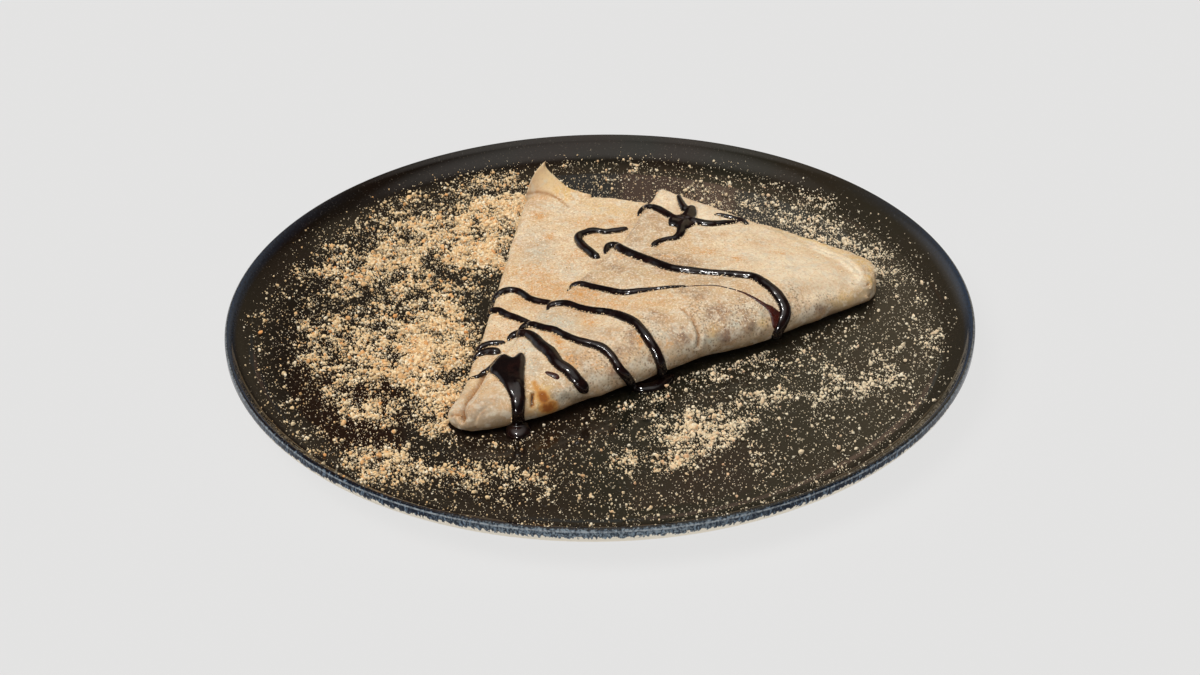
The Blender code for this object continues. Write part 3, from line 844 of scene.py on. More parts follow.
# The relief fades out just above the plate, and no point goes lower than this
FADE_FROM, FADE_OVER = MM, 3 * MM
LOWEST_SKIN = FLOOR_TOP + 0.15 * MM


def noise_at(points, size, shift):
    """Smooth noise from -1 to 1, with lumps of about the given size."""
    return np.array([noise.noise(Vector(point) / size + shift) for point in points])


reach, _, across = wedge_places(points)
height = points[:, 2] - FLOOR_TOP
front_face = np.clip(1 - across / FRONT_DEPTH, 0, 1)
above_plate = np.clip((height - FADE_FROM) / FADE_OVER, 0, 1)

fold_places = np.c_[reach * PUCKER_STRETCH, across, points[:, 2]]
relief = LUMP_HEIGHT * noise_at(points, LUMP_SIZE, Vector((3, 1, 7)))
puckers = PUCKER_HEIGHT * noise_at(fold_places, PUCKER_SIZE, Vector((8, 2, 5)))
relief += puckers * (0.5 + front_face)
relief += SKIN_HEIGHT * noise_at(points, SKIN_SIZE, Vector((1, 9, 4)))
relief += FILLING_HEIGHT * filled
pleats = np.sin(reach / PLEAT_SPACING + 2 * np.sin(reach / PLEAT_DRIFT))
low_front = front_face * np.clip(1 - height / FOOT_HEIGHT, 0, 1)
relief += PLEAT_HEIGHT * pleats * low_front
moved = points + normals * ((relief + sunk) * above_plate)[:, None]
moved[:, 2] = np.maximum(moved[:, 2], LOWEST_SKIN)
skin_data.vertices.foreach_set("co", moved.ravel())
skin_data.update()
print("relief in mm, from", round(relief.min() / MM, 2), "to", round(relief.max() / MM, 2))

# %% [markdown]
# ## The curled corner
#
# At the back left the top sheet of the packet stands up to a point. It is one thin sheet, bent
# along a crease and hollow towards the eye. It starts level with the packet, so that no seam
# shows, and rises ever more steeply to its free edge. A patch between two curves gives that: the
# crease below, and above it an edge that runs up to the point and down again. The two curves
# share their ends, so the patch tapers to nothing there. A smooth edge has a blunt top, so the
# very tip is drawn out to an ear, which grows only in the last rows.

# %% Shape the curled corner
# Each place is (x, y) in mm, and for the free edge also its height above the plate's floor
CORNER_CREASE = [(-27.5, 84.2), (-22.5, 84.0), (-18, 81.4), (-13.5, 77.6), (-9.5, 76.4),
                 (-5.5, 79), (-2.5, 84)]
CORNER_EDGE = [(-27.5, 84.2, 8.2), (-25.2, 87, 14.0), (-21.6, 88.3, 18.4), (-17.0, 87.6, 15.0),
               (-11.6, 86.2, 10.4), (-6.8, 85.0, 8.9), (-2.5, 84, 8.0)]
CORNER_ROWS, CORNER_COLUMNS = 30, 73
CORNER_STEEPNESS = 1.8
CORNER_HOLLOW = 0.9 * MM
CORNER_SINK = 0.3 * MM
# How far in mm the ear is drawn out, at which share of the edge, how wide it is, how late it grows
CORNER_EAR, EAR_SHARE, EAR_WIDTH, EAR_GROWTH = (1.9, 0.3, 2.4), 1 / 3, 0.035, 6
# The crease's ends lie just past the skin, whose height is read inside these lines instead
SKIN_LEFT, SKIN_BACK = -26.5 * MM, 83 * MM


def curve_through(places, share):
    """A smooth curve through places, read at shares from 0 to 1."""
    stations = np.linspace(0, 1, len(places))
    curves = [smooth_through(list(zip(stations, values)), share) for values in zip(*places)]
    return np.array(curves).T


def skin_height(tree, x, y):
    """The height of the skin's upper side at a place."""
    return tree.ray_cast(Vector((x, y, 0.1)), Vector((0, 0, -1)))[0].z


def curled_sheet(tree):
    """The corner's upper side as a grid of points."""
    share = np.linspace(0, 1, CORNER_COLUMNS)
    crease = curve_through(CORNER_CREASE, share) * MM
    high = curve_through(CORNER_EDGE, share) * MM
    high[:, 2] += FLOOR_TOP
    level = [skin_height(tree, max(x, SKIN_LEFT), min(y, SKIN_BACK)) for x, y in crease]
    low = np.c_[crease, np.array(level) - CORNER_SINK]
    ear = np.outer(np.exp(-np.abs(share - EAR_SHARE) / EAR_WIDTH), CORNER_EAR) * MM
    rows = []
    for rise in np.linspace(0, 1, CORNER_ROWS):
        row = low + (high - low) * rise
        row[:, 2] = low[:, 2] + (high[:, 2] - low[:, 2]) * rise**CORNER_STEEPNESS
        row[:, 1] += CORNER_HOLLOW * np.sin(math.pi * share) * math.sin(math.pi * rise)
        rows.append(row + ear * rise**EAR_GROWTH)
    return np.array(rows)


curled = curled_sheet(surface_tree(skin_data))
print("corner's sheet:", curled.shape[0], "rows of", curled.shape[1], "points")

# %% [markdown]
# A sheet of no thickness has no edge to catch the light. So the grid gets a copy below and a
# border between the two, thinner towards the free edge, and a little unevenness of its own.

# %% Give the corner its thickness
CORNER_THICKNESS = 1.0 * MM
ROUGHNESS_HEIGHT, ROUGHNESS_SIZE = 0.06 * MM, 2.5 * MM


def thickened(sheet, thickness):
    """A closed thin solid from a grid of points: the sheet, and its copy below."""
    along = np.gradient(sheet, axis=0)
    aside = np.gradient(sheet, axis=1)
    normal = np.cross(aside, along)
    normal /= np.linalg.norm(normal, axis=2)[:, :, None] + 1e-12
    rows, columns = sheet.shape[:2]
    thinner = np.minimum(1, np.linspace(0, 3, rows)[::-1] + 0.25)[:, None, None]
    under = sheet - normal * thickness * thinner
    border = [(0, column) for column in range(columns)]
    border += [(row, columns - 1) for row in range(1, rows)]
    border += [(rows - 1, column) for column in range(columns - 2, -1, -1)]
    border += [(row, 0) for row in range(rows - 2, 0, -1)]
    number = [row * columns + column for row, column in border]
    offset = rows * columns
    sides = [(a, b, b + offset, a + offset) for a, b in zip(number, number[1:] + number[:1])]
    faces = [grid_faces(rows, columns), grid_faces(rows, columns, offset), np.array(sides)]
    return np.concatenate([sheet.reshape(-1, 3), under.reshape(-1, 3)]), np.concatenate(faces)


corner_points, corner_faces = thickened(curled, CORNER_THICKNESS)
roughness = ROUGHNESS_HEIGHT * noise_at(corner_points, ROUGHNESS_SIZE, Vector((5, 5, 5)))
corner_points[:, 2] += roughness
corner_data = closed_mesh("crepe_corner", corner_points, corner_faces)
print("corner's top:", round((corner_points[:, 2].max()) / MM, 1), "mm above the table")

# %% [markdown]
# ## The pancake's finish
#
# The finish reads the painted marks. Under them lies a cream that drifts between warm and pale,
# with a grain of dust as fine as flour. The front of the fold is painted greyer than the top, and
# browner towards its foot: both are painted shade, where less light reaches. Some pale patches are
# painted light, and the creases carry painted shade. The marks never end in a clean line: each one
# is multiplied by a noise of its own size before it colours the cream. A little light passes into
# a thin pancake, so the shader gets a trace of subsurface scattering.

# %% Paint the marks on the points
FRONT_BAND = 13 * MM
FLAP_BAND = 24
SHADED_FOOT = 5 * MM
# How strong a mark is with no patch drawn: painted shade at the foot, dust on top, pores in front
FOOT_SHADE_SHARE, DUST_ALL_OVER, FRONT_PORES = 0.35, 0.24, 0.18
CORNER_SHADE_WIDTH = 0.6 * MM


def paint(data, name, values):
    """Stores one value for each point of a mesh, which a finish reads by its name."""
    layer = data.attributes.new(name, "FLOAT", "POINT")
    layer.data.foreach_set("value", np.asarray(values, np.float32))


def painted_names(data):
    """The names of the values painted on a mesh."""
    return [layer.name for layer in data.attributes if layer.data_type == "FLOAT"]


def paint_pancake(data, crease):
    """Every mark of the pancake, on the points of one mesh."""
    points, normals = read_points(data), read_normals(data)
    column, row = photo_places(points)
    facing = faces_eye(normals)
    upper_side = np.clip(normals[:, 2] * 3 - 1.2, 0, 1)
    reach, angle, across = wedge_places(points)
    height = points[:, 2] - FLOOR_TOP
    front = np.clip(1.2 - across / FRONT_BAND, 0, 1)
    from_hem = (np.radians(smooth_through(FLAP_LINE, reach / MM)) - angle) * reach / MM
    on_flap = np.clip(from_hem, 0, 1) * np.exp(-((from_hem / FLAP_BAND) ** 2))
    # Painted shade along the foot of the front, past the tip, where the fold turns under
    past_tip = np.clip(reach / (40 * MM) - 0.5, 0, 1)
    foot = np.clip(1 - height / SHADED_FOOT, 0, 1) * past_tip

    def seen(patches):
        return facing * painted_patches(column, row, patches)

    marks = {
        "front": front,
        "flap": on_flap * np.clip(reach / MM / 60 - 0.6, 0, 1),
        # The foot gets painted shade twice: grey-mauve through the filling mark, and brown through
        # low
        "filling": np.maximum(seen(FILLING), FOOT_SHADE_SHARE * foot * front),
        "low": front * np.clip(1.1 - height / FOOT_HEIGHT, 0, 1),
        "orange_dust": upper_side * (DUST_ALL_OVER + seen(ORANGE_DUST)),
        "toast": seen(TOAST),
        "yellow": seen(YELLOW),
        # pale batter in places, painted light and a painted highlight in most
        "pale": seen(PALE_AND_LIT),
        "pores": FRONT_PORES * front + seen(PORES),
        "crease": crease * facing,
        "milky": seen(MILKY),
        "floury": upper_side * (1 - painted_patches(column, row, SMOOTH)),
    }
    for name, values in marks.items():
        paint(data, name, values)


paint_pancake(skin_data, crease_shade_mark)
# Painted shade along the foot of the curled corner, where it rises from the packet
corner_foot = laid_route(surface_tree(corner_data), CREASES["corner_crease"][0])
from_foot = distance_to(read_points(corner_data), corner_foot)
paint_pancake(corner_data, np.exp(-((from_foot / CORNER_SHADE_WIDTH) ** 2)))
print("marks:", painted_names(skin_data))

# %% [markdown]
# The colours are mixed in the order in which they came about: the batter, what the griddle did to
# it, what shows from inside, and at last what lies on top.

# %% Mix the pancake's colour
WARM_CREAM = shade(224, 197, 157)
PALE_AND_LIT_CREAM = shade(247, 234, 207)
TAN = shade(210, 174, 134)
CHALK = shade(224, 214, 194)
FRONT_SHADE_CREAM = shade(206, 189, 163)
GREY_MAUVE = shade(128, 105, 94)
FOOT_SHADE_BROWN = shade(158, 126, 86)
DUST_ORANGE = shade(218, 166, 110)
BAKED_BROWN = shade(164, 96, 40)
BAKED_ORANGE = shade(208, 150, 80)
EGG_YELLOW = shade(228, 194, 130)
PORE_BROWN = shade(126, 100, 76)
MILK_BLUE = shade(202, 201, 186)
CREASE_SHADE_BROWN = shade(160, 108, 56)
SLIT_SHADE_GREY = shade(72, 64, 58)
FLOUR = shade(250, 238, 216)
SAND = shade(182, 148, 110)


def pancake_colour(tree):
    """The colour of the pancake: cream, then its marks, then what lies on it."""
    drift = threshold(tree, grain(tree, 20 * MM), 0.35, 0.65, 0.0, 0.7)
    cream = blend(tree, drift, WARM_CREAM, PALE_AND_LIT_CREAM)
    # Painted shade: the front of the fold is painted greyer, as it takes less light than the top
    cream = blend(tree, times(tree, painted(tree, "front"), 0.8), cream, FRONT_SHADE_CREAM)
    baked = threshold(tree, grain(tree, 7 * MM, 4, stretch=(1.1, 1, 1)), 0.48, 0.66, 0.0, 0.75)
    cream = blend(tree, baked, cream, TAN)
    cloud = threshold(tree, grain(tree, 5 * MM, 4), 0.3, 0.62, 0.55, 1.25)
    cream = blend(tree, times(tree, painted(tree, "yellow"), cloud), cream, EGG_YELLOW)
    blotch = threshold(tree, grain(tree, 6 * MM, 5), 0.5, 0.68, 0.0, 0.6)
    flap_drift = threshold(tree, grain(tree, 11 * MM, 3), 0.35, 0.65, 0.25, 0.75)
    flap = times(tree, painted(tree, "flap"), flap_drift)
    inside = times(tree, painted(tree, "filling"), cloud)
    mauve = plus(tree, inside, times(tree, blotch, painted(tree, "front")))
    sockets = {0: mauve, 1: flap}
    mauve = wire(tree, "Math", sockets, operation="MAXIMUM", use_clamp=True).outputs[0]
    cream = blend(tree, times(tree, mauve, 0.85), cream, GREY_MAUVE)
    soft = threshold(tree, grain(tree, 2.2 * MM, 5), 0.46, 0.64, 0.0, 0.35)
    cream = blend(tree, soft, cream, TAN)
    # Painted shade: browner towards the foot of the front, where the fold turns under
    cream = blend(tree, times(tree, painted(tree, "low"), 0.8), cream, FOOT_SHADE_BROWN)
    # Painted light and highlight, with some pale batter: the pale patches lighten the cream
    clear = threshold(tree, grain(tree, 6 * MM, 4), 0.36, 0.56, 0.5, 1.0)
    cream = blend(tree, times(tree, painted(tree, "pale"), clear), cream, PALE_AND_LIT_CREAM)
    milky = threshold(tree, grain(tree, 4 * MM, 4, stretch=(1, 1.2, 1)), 0.5, 0.64, 0.0, 0.75)
    cream = blend(tree, milky, cream, CHALK)
    milk = threshold(tree, grain(tree, 2.6 * MM, 4), 0.34, 0.54, 0.35, 1.0)
    cream = blend(tree, times(tree, painted(tree, "milky"), milk), cream, MILK_BLUE)
    fleck = threshold(tree, grain(tree, 1.5 * MM, 5), 0.46, 0.62)
    dusty = times(tree, painted(tree, "orange_dust"), plus(tree, times(tree, fleck, 1.1), 0.3))
    cream = blend(tree, dusty, cream, DUST_ORANGE)
    scorch = threshold(tree, grain(tree, 2.5 * MM, 4), 0.3, 0.6, 0.6, 1.0)
    spot = times(tree, painted(tree, "toast"), scorch)
    cream = blend(tree, threshold(tree, spot, 0.1, 0.6), cream, BAKED_ORANGE)
    cream = blend(tree, threshold(tree, spot, 0.4, 1.0), cream, BAKED_BROWN)
    # Painted shade in the creases: brown, and near black in the open slit
    cream = blend(tree, times(tree, painted(tree, "crease"), 0.8), cream, CREASE_SHADE_BROWN)
    return blend(tree, threshold(tree, painted(tree, "crease"), 1.6, 2.6), cream, SLIT_SHADE_GREY)


pancake, pancake_tree, pancake_shader = new_finish("pancake", 0.72)
plain_cream = pancake_colour(pancake_tree)
print("nodes of the pancake's colour:", len(pancake_tree.nodes))

# %% [markdown]
# Over the colour come grains as fine as flour and sand, too small to be points of the mesh. The
# pores are small dark holes, so they need a colour and a depth, and one noise gives both.

# %% Add the grains, the pores and the relief
PORE_SIZE = 0.95 * MM


def grains_and_pores(tree, cream):
    """Fine grains over a colour, and how deep the pores are at each place."""
    flour = threshold(tree, grain(tree, 0.8 * MM, 3), 0.5, 0.66, 0.0, 0.8)
    clean = threshold(tree, painted(tree, "toast"), 0.1, 0.5, 1.0, 0.0)
    floury = times(tree, clean, plus(tree, times(tree, painted(tree, "floury"), 0.75), 0.14))
    cream = blend(tree, times(tree, flour, floury), cream, FLOUR)
    sand = threshold(tree, grain(tree, 0.8 * MM, 3, stretch=(1, 1.1, 1.2)), 0.34, 0.48, 0.55, 0.0)
    cream = blend(tree, times(tree, sand, plus(tree, floury, 0.2)), cream, SAND)
    cells = wire(tree, "TexVoronoi", {"Scale": 1 / PORE_SIZE}, feature="F1")
    tree.links.new(wire(tree, "TexCoord").outputs["Object"], cells.inputs["Vector"])
    hole = threshold(tree, cells.outputs["Distance"], 0.2, 0.55, 1.0, 0.0)
    hole = times(tree, hole, threshold(tree, painted(tree, "pores"), 0.1, 0.6))
    hole = times(tree, hole, threshold(tree, grain(tree, 2.5 * MM, 3), 0.36, 0.6, 0.35, 1.0))
    return blend(tree, times(tree, hole, 0.72), cream, PORE_BROWN), hole


def fill_shader(tree, shader, colour):
    """Wires the pancake's colour and relief to its shader, and sets how it takes the light."""
    cream, hole = grains_and_pores(tree, colour)
    tree.links.new(cream, shader.inputs["Base Color"])
    fine = times(tree, grain(tree, 0.7 * MM, 3), 0.7)
    height = plus(tree, fine, threshold(tree, hole, 0, 1, 0.5, 0.0))
    roughen(tree, shader, height, 0.45, 0.3 * MM)
    shader.inputs["Subsurface Weight"].default_value = 0.1
    shader.inputs["Subsurface Radius"].default_value = (1.0, 0.6, 0.35)
    shader.inputs["Subsurface Scale"].default_value = 1.2 * MM
    shader.inputs["Specular IOR Level"].default_value = 0.3


fill_shader(pancake_tree, pancake_shader, plain_cream)
for data in (skin_data, corner_data):
    data.materials.append(pancake)
crepe = smooth_object("crepe_skin", skin_data)
corner = smooth_object("crepe_corner", corner_data)
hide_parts("crepe")
for piece in (crepe, corner):
    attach(piece, "root")
print("pancake nodes:", len(pancake_tree.nodes))

# %% [markdown]
# ## The plate
#
# The plate was thrown on a wheel, so its form is one outline turned round an axis. The solid
# model has 72 steps round, which is enough for weight and contact. A glossy rim shows every
# facet as a break in its reflection, so this plate is turned again, finely, from the same
# outline with rounder corners.

# %% Turn the plate
PLATE_RADIUS = 135
PLATE_HEIGHT = 17.5
FLOOR_LEVEL = 10
FLOOR_UNDER = 4.3
FLOOR_RADIUS = 114
# The rim first climbs gently and then steeply, as shares of its whole climb
GENTLE_CLIMB, STEEP_CLIMB = 0.35, 0.65
FOOT_INNER, FOOT_OUTER = 78, 86
PLATE_STEPS = 360


def lip_height(radius):
    """The height of the plate's upper side at a radius, both in mm."""
    t = np.clip((radius - FLOOR_RADIUS) / (PLATE_RADIUS - 1 - FLOOR_RADIUS), 0, 1)
    climb = GENTLE_CLIMB * t**2 + STEEP_CLIMB * t**5
    return FLOOR_LEVEL + (PLATE_HEIGHT - FLOOR_LEVEL) * climb


def plate_outline():
    """(radius, height) down the half section, from the middle over the rim to the foot."""
    rim, high, under = PLATE_RADIUS, PLATE_HEIGHT, FLOOR_UNDER
    inner = [(radius, float(lip_height(radius))) for radius in np.linspace(4, rim - 1, 90)]
    turns = np.radians(range(15, 91, 15))
    rounding = [(rim - 1 + math.sin(turn), high - 1 + math.cos(turn)) for turn in turns]
    rounding += [(rim, high - 1 - drop) for drop in (0.5, 1, 1.5, 2)]
    outer = [(rim - 0.15, high - 3.5), (rim - 0.6, high - 4.5), (rim - 1.6, high - 5.8)]
    outer += [(rim - 3.6, high - 7.4), (rim - 8, high - 9.4), (rim - 16, high - 11.6)]
    outer += [(rim - 26, under + 0.3), (FOOT_OUTER + 1.5, under)]
    foot = [(FOOT_OUTER + 0.3, under - 0.8), (FOOT_OUTER, 0.6), (FOOT_OUTER - 0.6, 0)]
    foot += [(FOOT_INNER + 0.6, 0), (FOOT_INNER, 0.6), (FOOT_INNER - 0.4, under - 0.8)]
    foot += [(FOOT_INNER - 2, under), (4, under)]
    return [(0, FLOOR_LEVEL)] + inner + rounding + outer + foot + [(0, under)]


def turned(outline, steps):
    """Points and faces of an outline turned round Z."""
    radii, heights = (np.array(values) * MM for values in zip(*outline))
    angle = np.linspace(0, math.tau, steps, endpoint=False)
    points = np.stack([np.outer(np.cos(angle), radii), np.outer(np.sin(angle), radii)], axis=2)
    level = np.broadcast_to(heights, points.shape[:2])[:, :, None]
    points = np.concatenate([points, level], axis=2)
    points = np.concatenate([points, points[:1]])
    return points.reshape(-1, 3), grid_faces(steps + 1, len(outline))


plate_data = closed_mesh("glazed_plate", *turned(plate_outline(), PLATE_STEPS))
print("plate:", len(plate_data.vertices), "points")

# %% [markdown]
# The glaze isn't the same all round either. Its places are painted on the points as values that
# rise along a line: towards the front, where the rim is rubbed and its pale line, partly a painted
# highlight, is widest; towards the left, where the glaze gets a darker painted reflection and its
# slope is dull; and towards the right, where its painted reflection is paler.

# %% Paint where the glaze changes
NOT_OUTSIDE = 9.0


def ramp(values, start, length, most=1.0):
    """0 up to a start, and from there a straight rise that ends at most."""
    return np.clip((values - start) / length, 0, most)


def plate_marks(data):
    """The values that the glaze reads, by name. Every length is in mm."""
    points, normals = read_points(data), read_normals(data)
    x, y, z = (points / MM).T
    radius = np.linalg.norm(points[:, :2], axis=1) / MM
    below_rim = PLATE_HEIGHT - z
    outward = (normals[:, :2] * points[:, :2]).sum(axis=1) / MM / np.maximum(radius, 1)
    outside = (outward > 0.1) & (radius > 90) | (normals[:, 2] < -0.1)
    to_front = ramp(-y, 20, 80)
    from_line = np.abs(below_rim - 0.2 - 0.8 * to_front)
    cold_lip = ramp(radius, 131.5, 2) * ramp(-y, -96, 80)
    return {
        "down_outside": np.where(outside, below_rim, 0.0),
        "from_line": np.where(outside, from_line, NOT_OUTSIDE),
        "worn": 0.45 + 0.5 * to_front,
        "cold_lip": np.where(outside, 0.0, cold_lip),
        # Painted reflection: the floor is painted darker towards the left
        "darker_reflection_left": ramp(-x, -10, 90, 0.75),
        "rubbed": ramp(-y, 122, 12),
        "dulled": np.where(outside, 0.0, ramp(-x, 100, 18, 0.6)),
        # Painted reflection: the floor is painted paler towards the right
        "paler_reflection_right": ramp(x, 30, 100, 0.8),
    }


for name, values in plate_marks(plate_data).items():
    paint(plate_data, name, values)
print("plate's marks:", painted_names(plate_data))

# %% [markdown]
# The glaze is near black, but never flat: it runs from brown to a cold olive over some
# centimetres, and carries fine pale specks. Painted reflection makes it darker on the left and
# paler on the right. On the outer corner of the rim it ran thin, and a pale broken line is painted
# there, partly thin glaze and partly a painted highlight. Below that it turns navy with paler
# streaks, rubbed to grey at the very front, and ends in a ragged edge a few millimetres down, where
# the cream clay begins. How much it mirrors also changes: most on the floor, less on the slope at
# the left, least outside.

# %% Mix the glaze
GLAZE_BROWN = shade(33, 25, 18)
GLAZE_OLIVE = shade(28, 27, 20)
RIM_NAVY = shade(12, 25, 42)
GLAZE_DARK_REFLECTION = shade(24, 16, 12)
GLAZE_PALE_REFLECTION = shade(50, 45, 36)
RIM_SLATE = shade(106, 124, 142)
LIP_BLUE = shade(50, 64, 84)
RUBBED_GREY = shade(142, 156, 166)
THIN_GLAZE_AND_HIGHLIGHT = shade(158, 166, 172)
SPECK = shade(96, 84, 66)
BARE_CLAY = shade(242, 233, 216)
LINE_HALF_WIDTH = 0.3
GLAZE_ENDS_DOWN = 4.1


def glaze_finish():
    """The plate's finish: the colour inside, then outside, then the line and the bare clay."""
    finish, tree, shader = new_finish("dark_glaze", 0.05)
    olive = threshold(tree, grain(tree, 50 * MM, 3), 0.42, 0.58)
    colour = blend(tree, olive, GLAZE_BROWN, GLAZE_OLIVE)
    # Painted reflection: darker on the left and paler on the right, as the floor mirrors the room
    colour = blend(tree, painted(tree, "darker_reflection_left"), colour, GLAZE_DARK_REFLECTION)
    colour = blend(tree, painted(tree, "paler_reflection_right"), colour, GLAZE_PALE_REFLECTION)
    speck = threshold(tree, grain(tree, 0.8 * MM, 2), 0.62, 0.74, 0.0, 0.6)
    colour = blend(tree, speck, colour, SPECK)
    mottle = grain(tree, 0.8 * MM, 4)
    cold = times(tree, painted(tree, "cold_lip"), threshold(tree, mottle, 0.3, 0.6, 0.4, 1.0))
    colour = blend(tree, cold, colour, LIP_BLUE)
    down = painted(tree, "down_outside")
    worn = painted(tree, "worn")
    drips = threshold(tree, grain(tree, 1.0 * MM, 4, stretch=(1, 1, 0.25)), 0.34, 0.66, 0.0, 1.5)
    streaks = threshold(tree, grain(tree, 0.7 * MM, 4, stretch=(1, 1, 0.35)), 0.5, 0.68, 0.0, 0.85)
    streaks = times(tree, streaks, threshold(tree, worn, 0.45, 0.95, 0.6, 1.2))
    navy = blend(tree, streaks, RIM_NAVY, RIM_SLATE)
    rubbed = times(tree, painted(tree, "rubbed"), threshold(tree, mottle, 0.44, 0.62, 0.1, 0.8))
    navy = blend(tree, rubbed, navy, RUBBED_GREY)
    on_side = threshold(tree, plus(tree, down, mottle), 0.55, 1.0)
    colour = blend(tree, on_side, colour, navy)
    near, far = 0.5 * LINE_HALF_WIDTH, 1.5 * LINE_HALF_WIDTH
    # The pale line on the rim's corner: partly thin glaze, partly a painted highlight
    line = times(tree, threshold(tree, painted(tree, "from_line"), near, far, 1.0, 0.0), worn)
    line = times(tree, line, threshold(tree, mottle, 0.4, 0.6, 0.3, 1.0))
    colour = blend(tree, line, colour, THIN_GLAZE_AND_HIGHLIGHT)
    end = threshold(tree, plus(tree, down, drips), GLAZE_ENDS_DOWN, GLAZE_ENDS_DOWN + 0.4)
    colour = blend(tree, end, colour, BARE_CLAY)
    tree.links.new(colour, shader.inputs["Base Color"])
    gloss = threshold(tree, grain(tree, 6 * MM, 3), 0.3, 0.7, 0.035, 0.07)
    tree.links.new(plus(tree, gloss, times(tree, end, 0.6)), shader.inputs["Roughness"])
    bright = threshold(tree, painted(tree, "dulled"), 0, 1, 1, 0)
    shine = times(tree, threshold(tree, on_side, 0.0, 1.0, 0.5, 0.16), bright)
    tree.links.new(shine, shader.inputs["Specular IOR Level"])
    roughen(tree, shader, grain(tree, 4 * MM), 0.03, 0.2 * MM)
    return finish


plate_data.materials.append(glaze_finish())
plate = smooth_object("glazed_plate", plate_data)
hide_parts("plate")
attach(plate, "root")
print("plate width:", round(2 * read_points(plate_data)[:, 0].max() / MM), "mm")

# %% [markdown]
# ## The chocolate drizzle
#
# Sauce falls as a thread, lies down half sunk in what it meets, and sags where it runs downhill.
# A strand here is a route of places in the photograph, each with the width that shows there. The
# route is smoothed, laid on the skin, and given a low round section that follows the skin
# underneath. Thin starts and thick, rounded ends come from the widths alone.

# %% The strands, as (column, row, width) in the photograph
DRIZZLE = {
    "packet_long": [
        (493, 307, 3), (494, 303, 5), (497, 296, 7), (506, 291, 8), (516, 291, 8), (523, 294, 8),
        (530, 299, 8), (540, 302, 8), (549, 303, 7), (556, 304, 4)],
    "packet_middle": [
        (486, 318, 3), (487, 314, 6), (490, 311, 7), (499, 311, 8), (507, 315, 8), (518, 319, 8),
        (529, 323, 6), (533, 325, 4)],
    "packet_low": [
        (475, 358, 3), (476, 353, 5), (482, 347, 7), (490, 344, 7), (499, 343, 6), (507, 342, 4)],
    "packet_lowest": [
        (473, 363, 3), (475, 359, 5), (480, 354, 7), (488, 352, 9), (496, 352, 9), (501, 353, 5)],
    "packet_tip": [
        (467, 380, 2), (471, 378, 3), (475, 377, 4), (479, 376, 4), (483, 373, 5), (489, 370, 6)],
    "hook": [
        (628, 228, 5), (621, 230, 7), (613, 231, 7), (606, 232, 7), (599, 231, 7), (592, 231, 8),
        (585, 233, 8), (579, 236, 9), (579, 241, 9), (583, 246, 9), (589, 251, 9), (595, 256, 9),
        (600, 258, 6)],
    "front_long": [
        (547, 310, 2), (550, 306, 6), (558, 304, 8), (568, 304, 8), (580, 308, 8), (592, 311, 9),
        (609, 313, 9), (623, 317, 10), (635, 323, 10), (643, 332, 10), (650, 342, 10),
        (657, 354, 10), (661, 366, 10), (662, 375, 10), (663, 383, 9)],
    "front_middle": [
        (519, 332, 2), (521, 329, 5), (525, 326, 7), (533, 325, 8), (544, 328, 8), (554, 330, 8),
        (564, 335, 8), (576, 340, 8), (590, 344, 9), (602, 348, 10), (611, 356, 9), (619, 368, 9),
        (628, 378, 9), (634, 387, 8)],
    "front_thick": [
        (508, 341, 2), (510, 338, 6), (516, 335, 9), (526, 334, 10), (534, 338, 11),
        (541, 345, 12), (550, 352, 12), (558, 363, 12), (568, 370, 12), (577, 380, 12),
        (584, 388, 11), (587, 392, 9)],
    "tip_flood": [
        (516, 380, 8), (518, 388, 12), (518, 396, 13), (518, 404, 13), (518, 412, 12),
        (518, 420, 12), (518, 429, 14)],
    "back_long": [
        (605, 254, 2), (606, 250, 6), (609, 246, 8), (616, 246, 9), (623, 250, 10),
        (634, 255, 10), (650, 261, 10), (670, 268, 9), (690, 271, 9), (711, 273, 8),
        (736, 275, 9), (753, 277, 9), (764, 283, 10), (774, 291, 11), (781, 300, 12),
        (785, 310, 12), (783, 320, 12), (778, 330, 11), (774, 337, 8)],
    "back_thin": [
        (567, 291, 2), (570, 288, 3), (573, 285, 5), (581, 284, 7), (592, 287, 8), (606, 290, 8),
        (623, 293, 8), (640, 291, 7), (655, 289, 5), (670, 287, 4), (687, 286, 3)],
    "peak_left": [
        (638, 216, 2), (640, 212, 5), (644, 208, 6), (650, 207, 7), (658, 209, 8), (667, 214, 8),
        (674, 218, 8), (681, 219, 9), (688, 220, 12)],
    "peak_knot": [
        (692, 206, 6), (690, 211, 9), (688, 217, 12), (686, 222, 12)],
    "peak_right": [
        (688, 220, 10), (696, 222, 9), (706, 224, 9), (716, 224, 8), (726, 223, 7), (734, 222, 5),
        (738, 221, 3)],
    "peak_edge": [
        (714, 214, 3), (721, 215, 5), (729, 217, 6), (736, 219, 6), (742, 221, 7), (749, 225, 4)],
    "peak_top": [
        (678, 195, 4), (680, 200, 6), (683, 206, 8), (687, 212, 10)],
    "peak_front": [
        (686, 221, 10), (682, 228, 10), (680, 234, 9), (675, 238, 7), (668, 239, 6),
        (660, 241, 6), (655, 244, 7), (652, 247, 5)],
    "peak_spur": [
        (684, 224, 8), (676, 224, 6), (671, 226, 3)],
}
print("strands:", len(DRIZZLE), "places:", sum(len(route) for route in DRIZZLE.values()))

# %% [markdown]
# Sauce also ran on: in puddles on the plate under the front, in two wide floods with an outline
# of their own, in one round drop, and as a thin film that the thick sauce left behind.

# %% Puddles, floods, drops and the thin sauce
PUDDLES = {
    "foot_by_tip": [
        (518, 421, 12), (518, 426, 15), (518, 431, 14)],
    "pool": [
        (630, 387, 7), (638, 388, 11), (647, 388, 13), (656, 386, 14), (665, 381, 12),
        (672, 376, 7)],
    "pool_tail": [
        (662, 379, 8), (668, 378, 8), (675, 374, 4)],
    "pool_behind": [
        (636, 383, 10), (648, 381, 12), (660, 376, 12)],
}
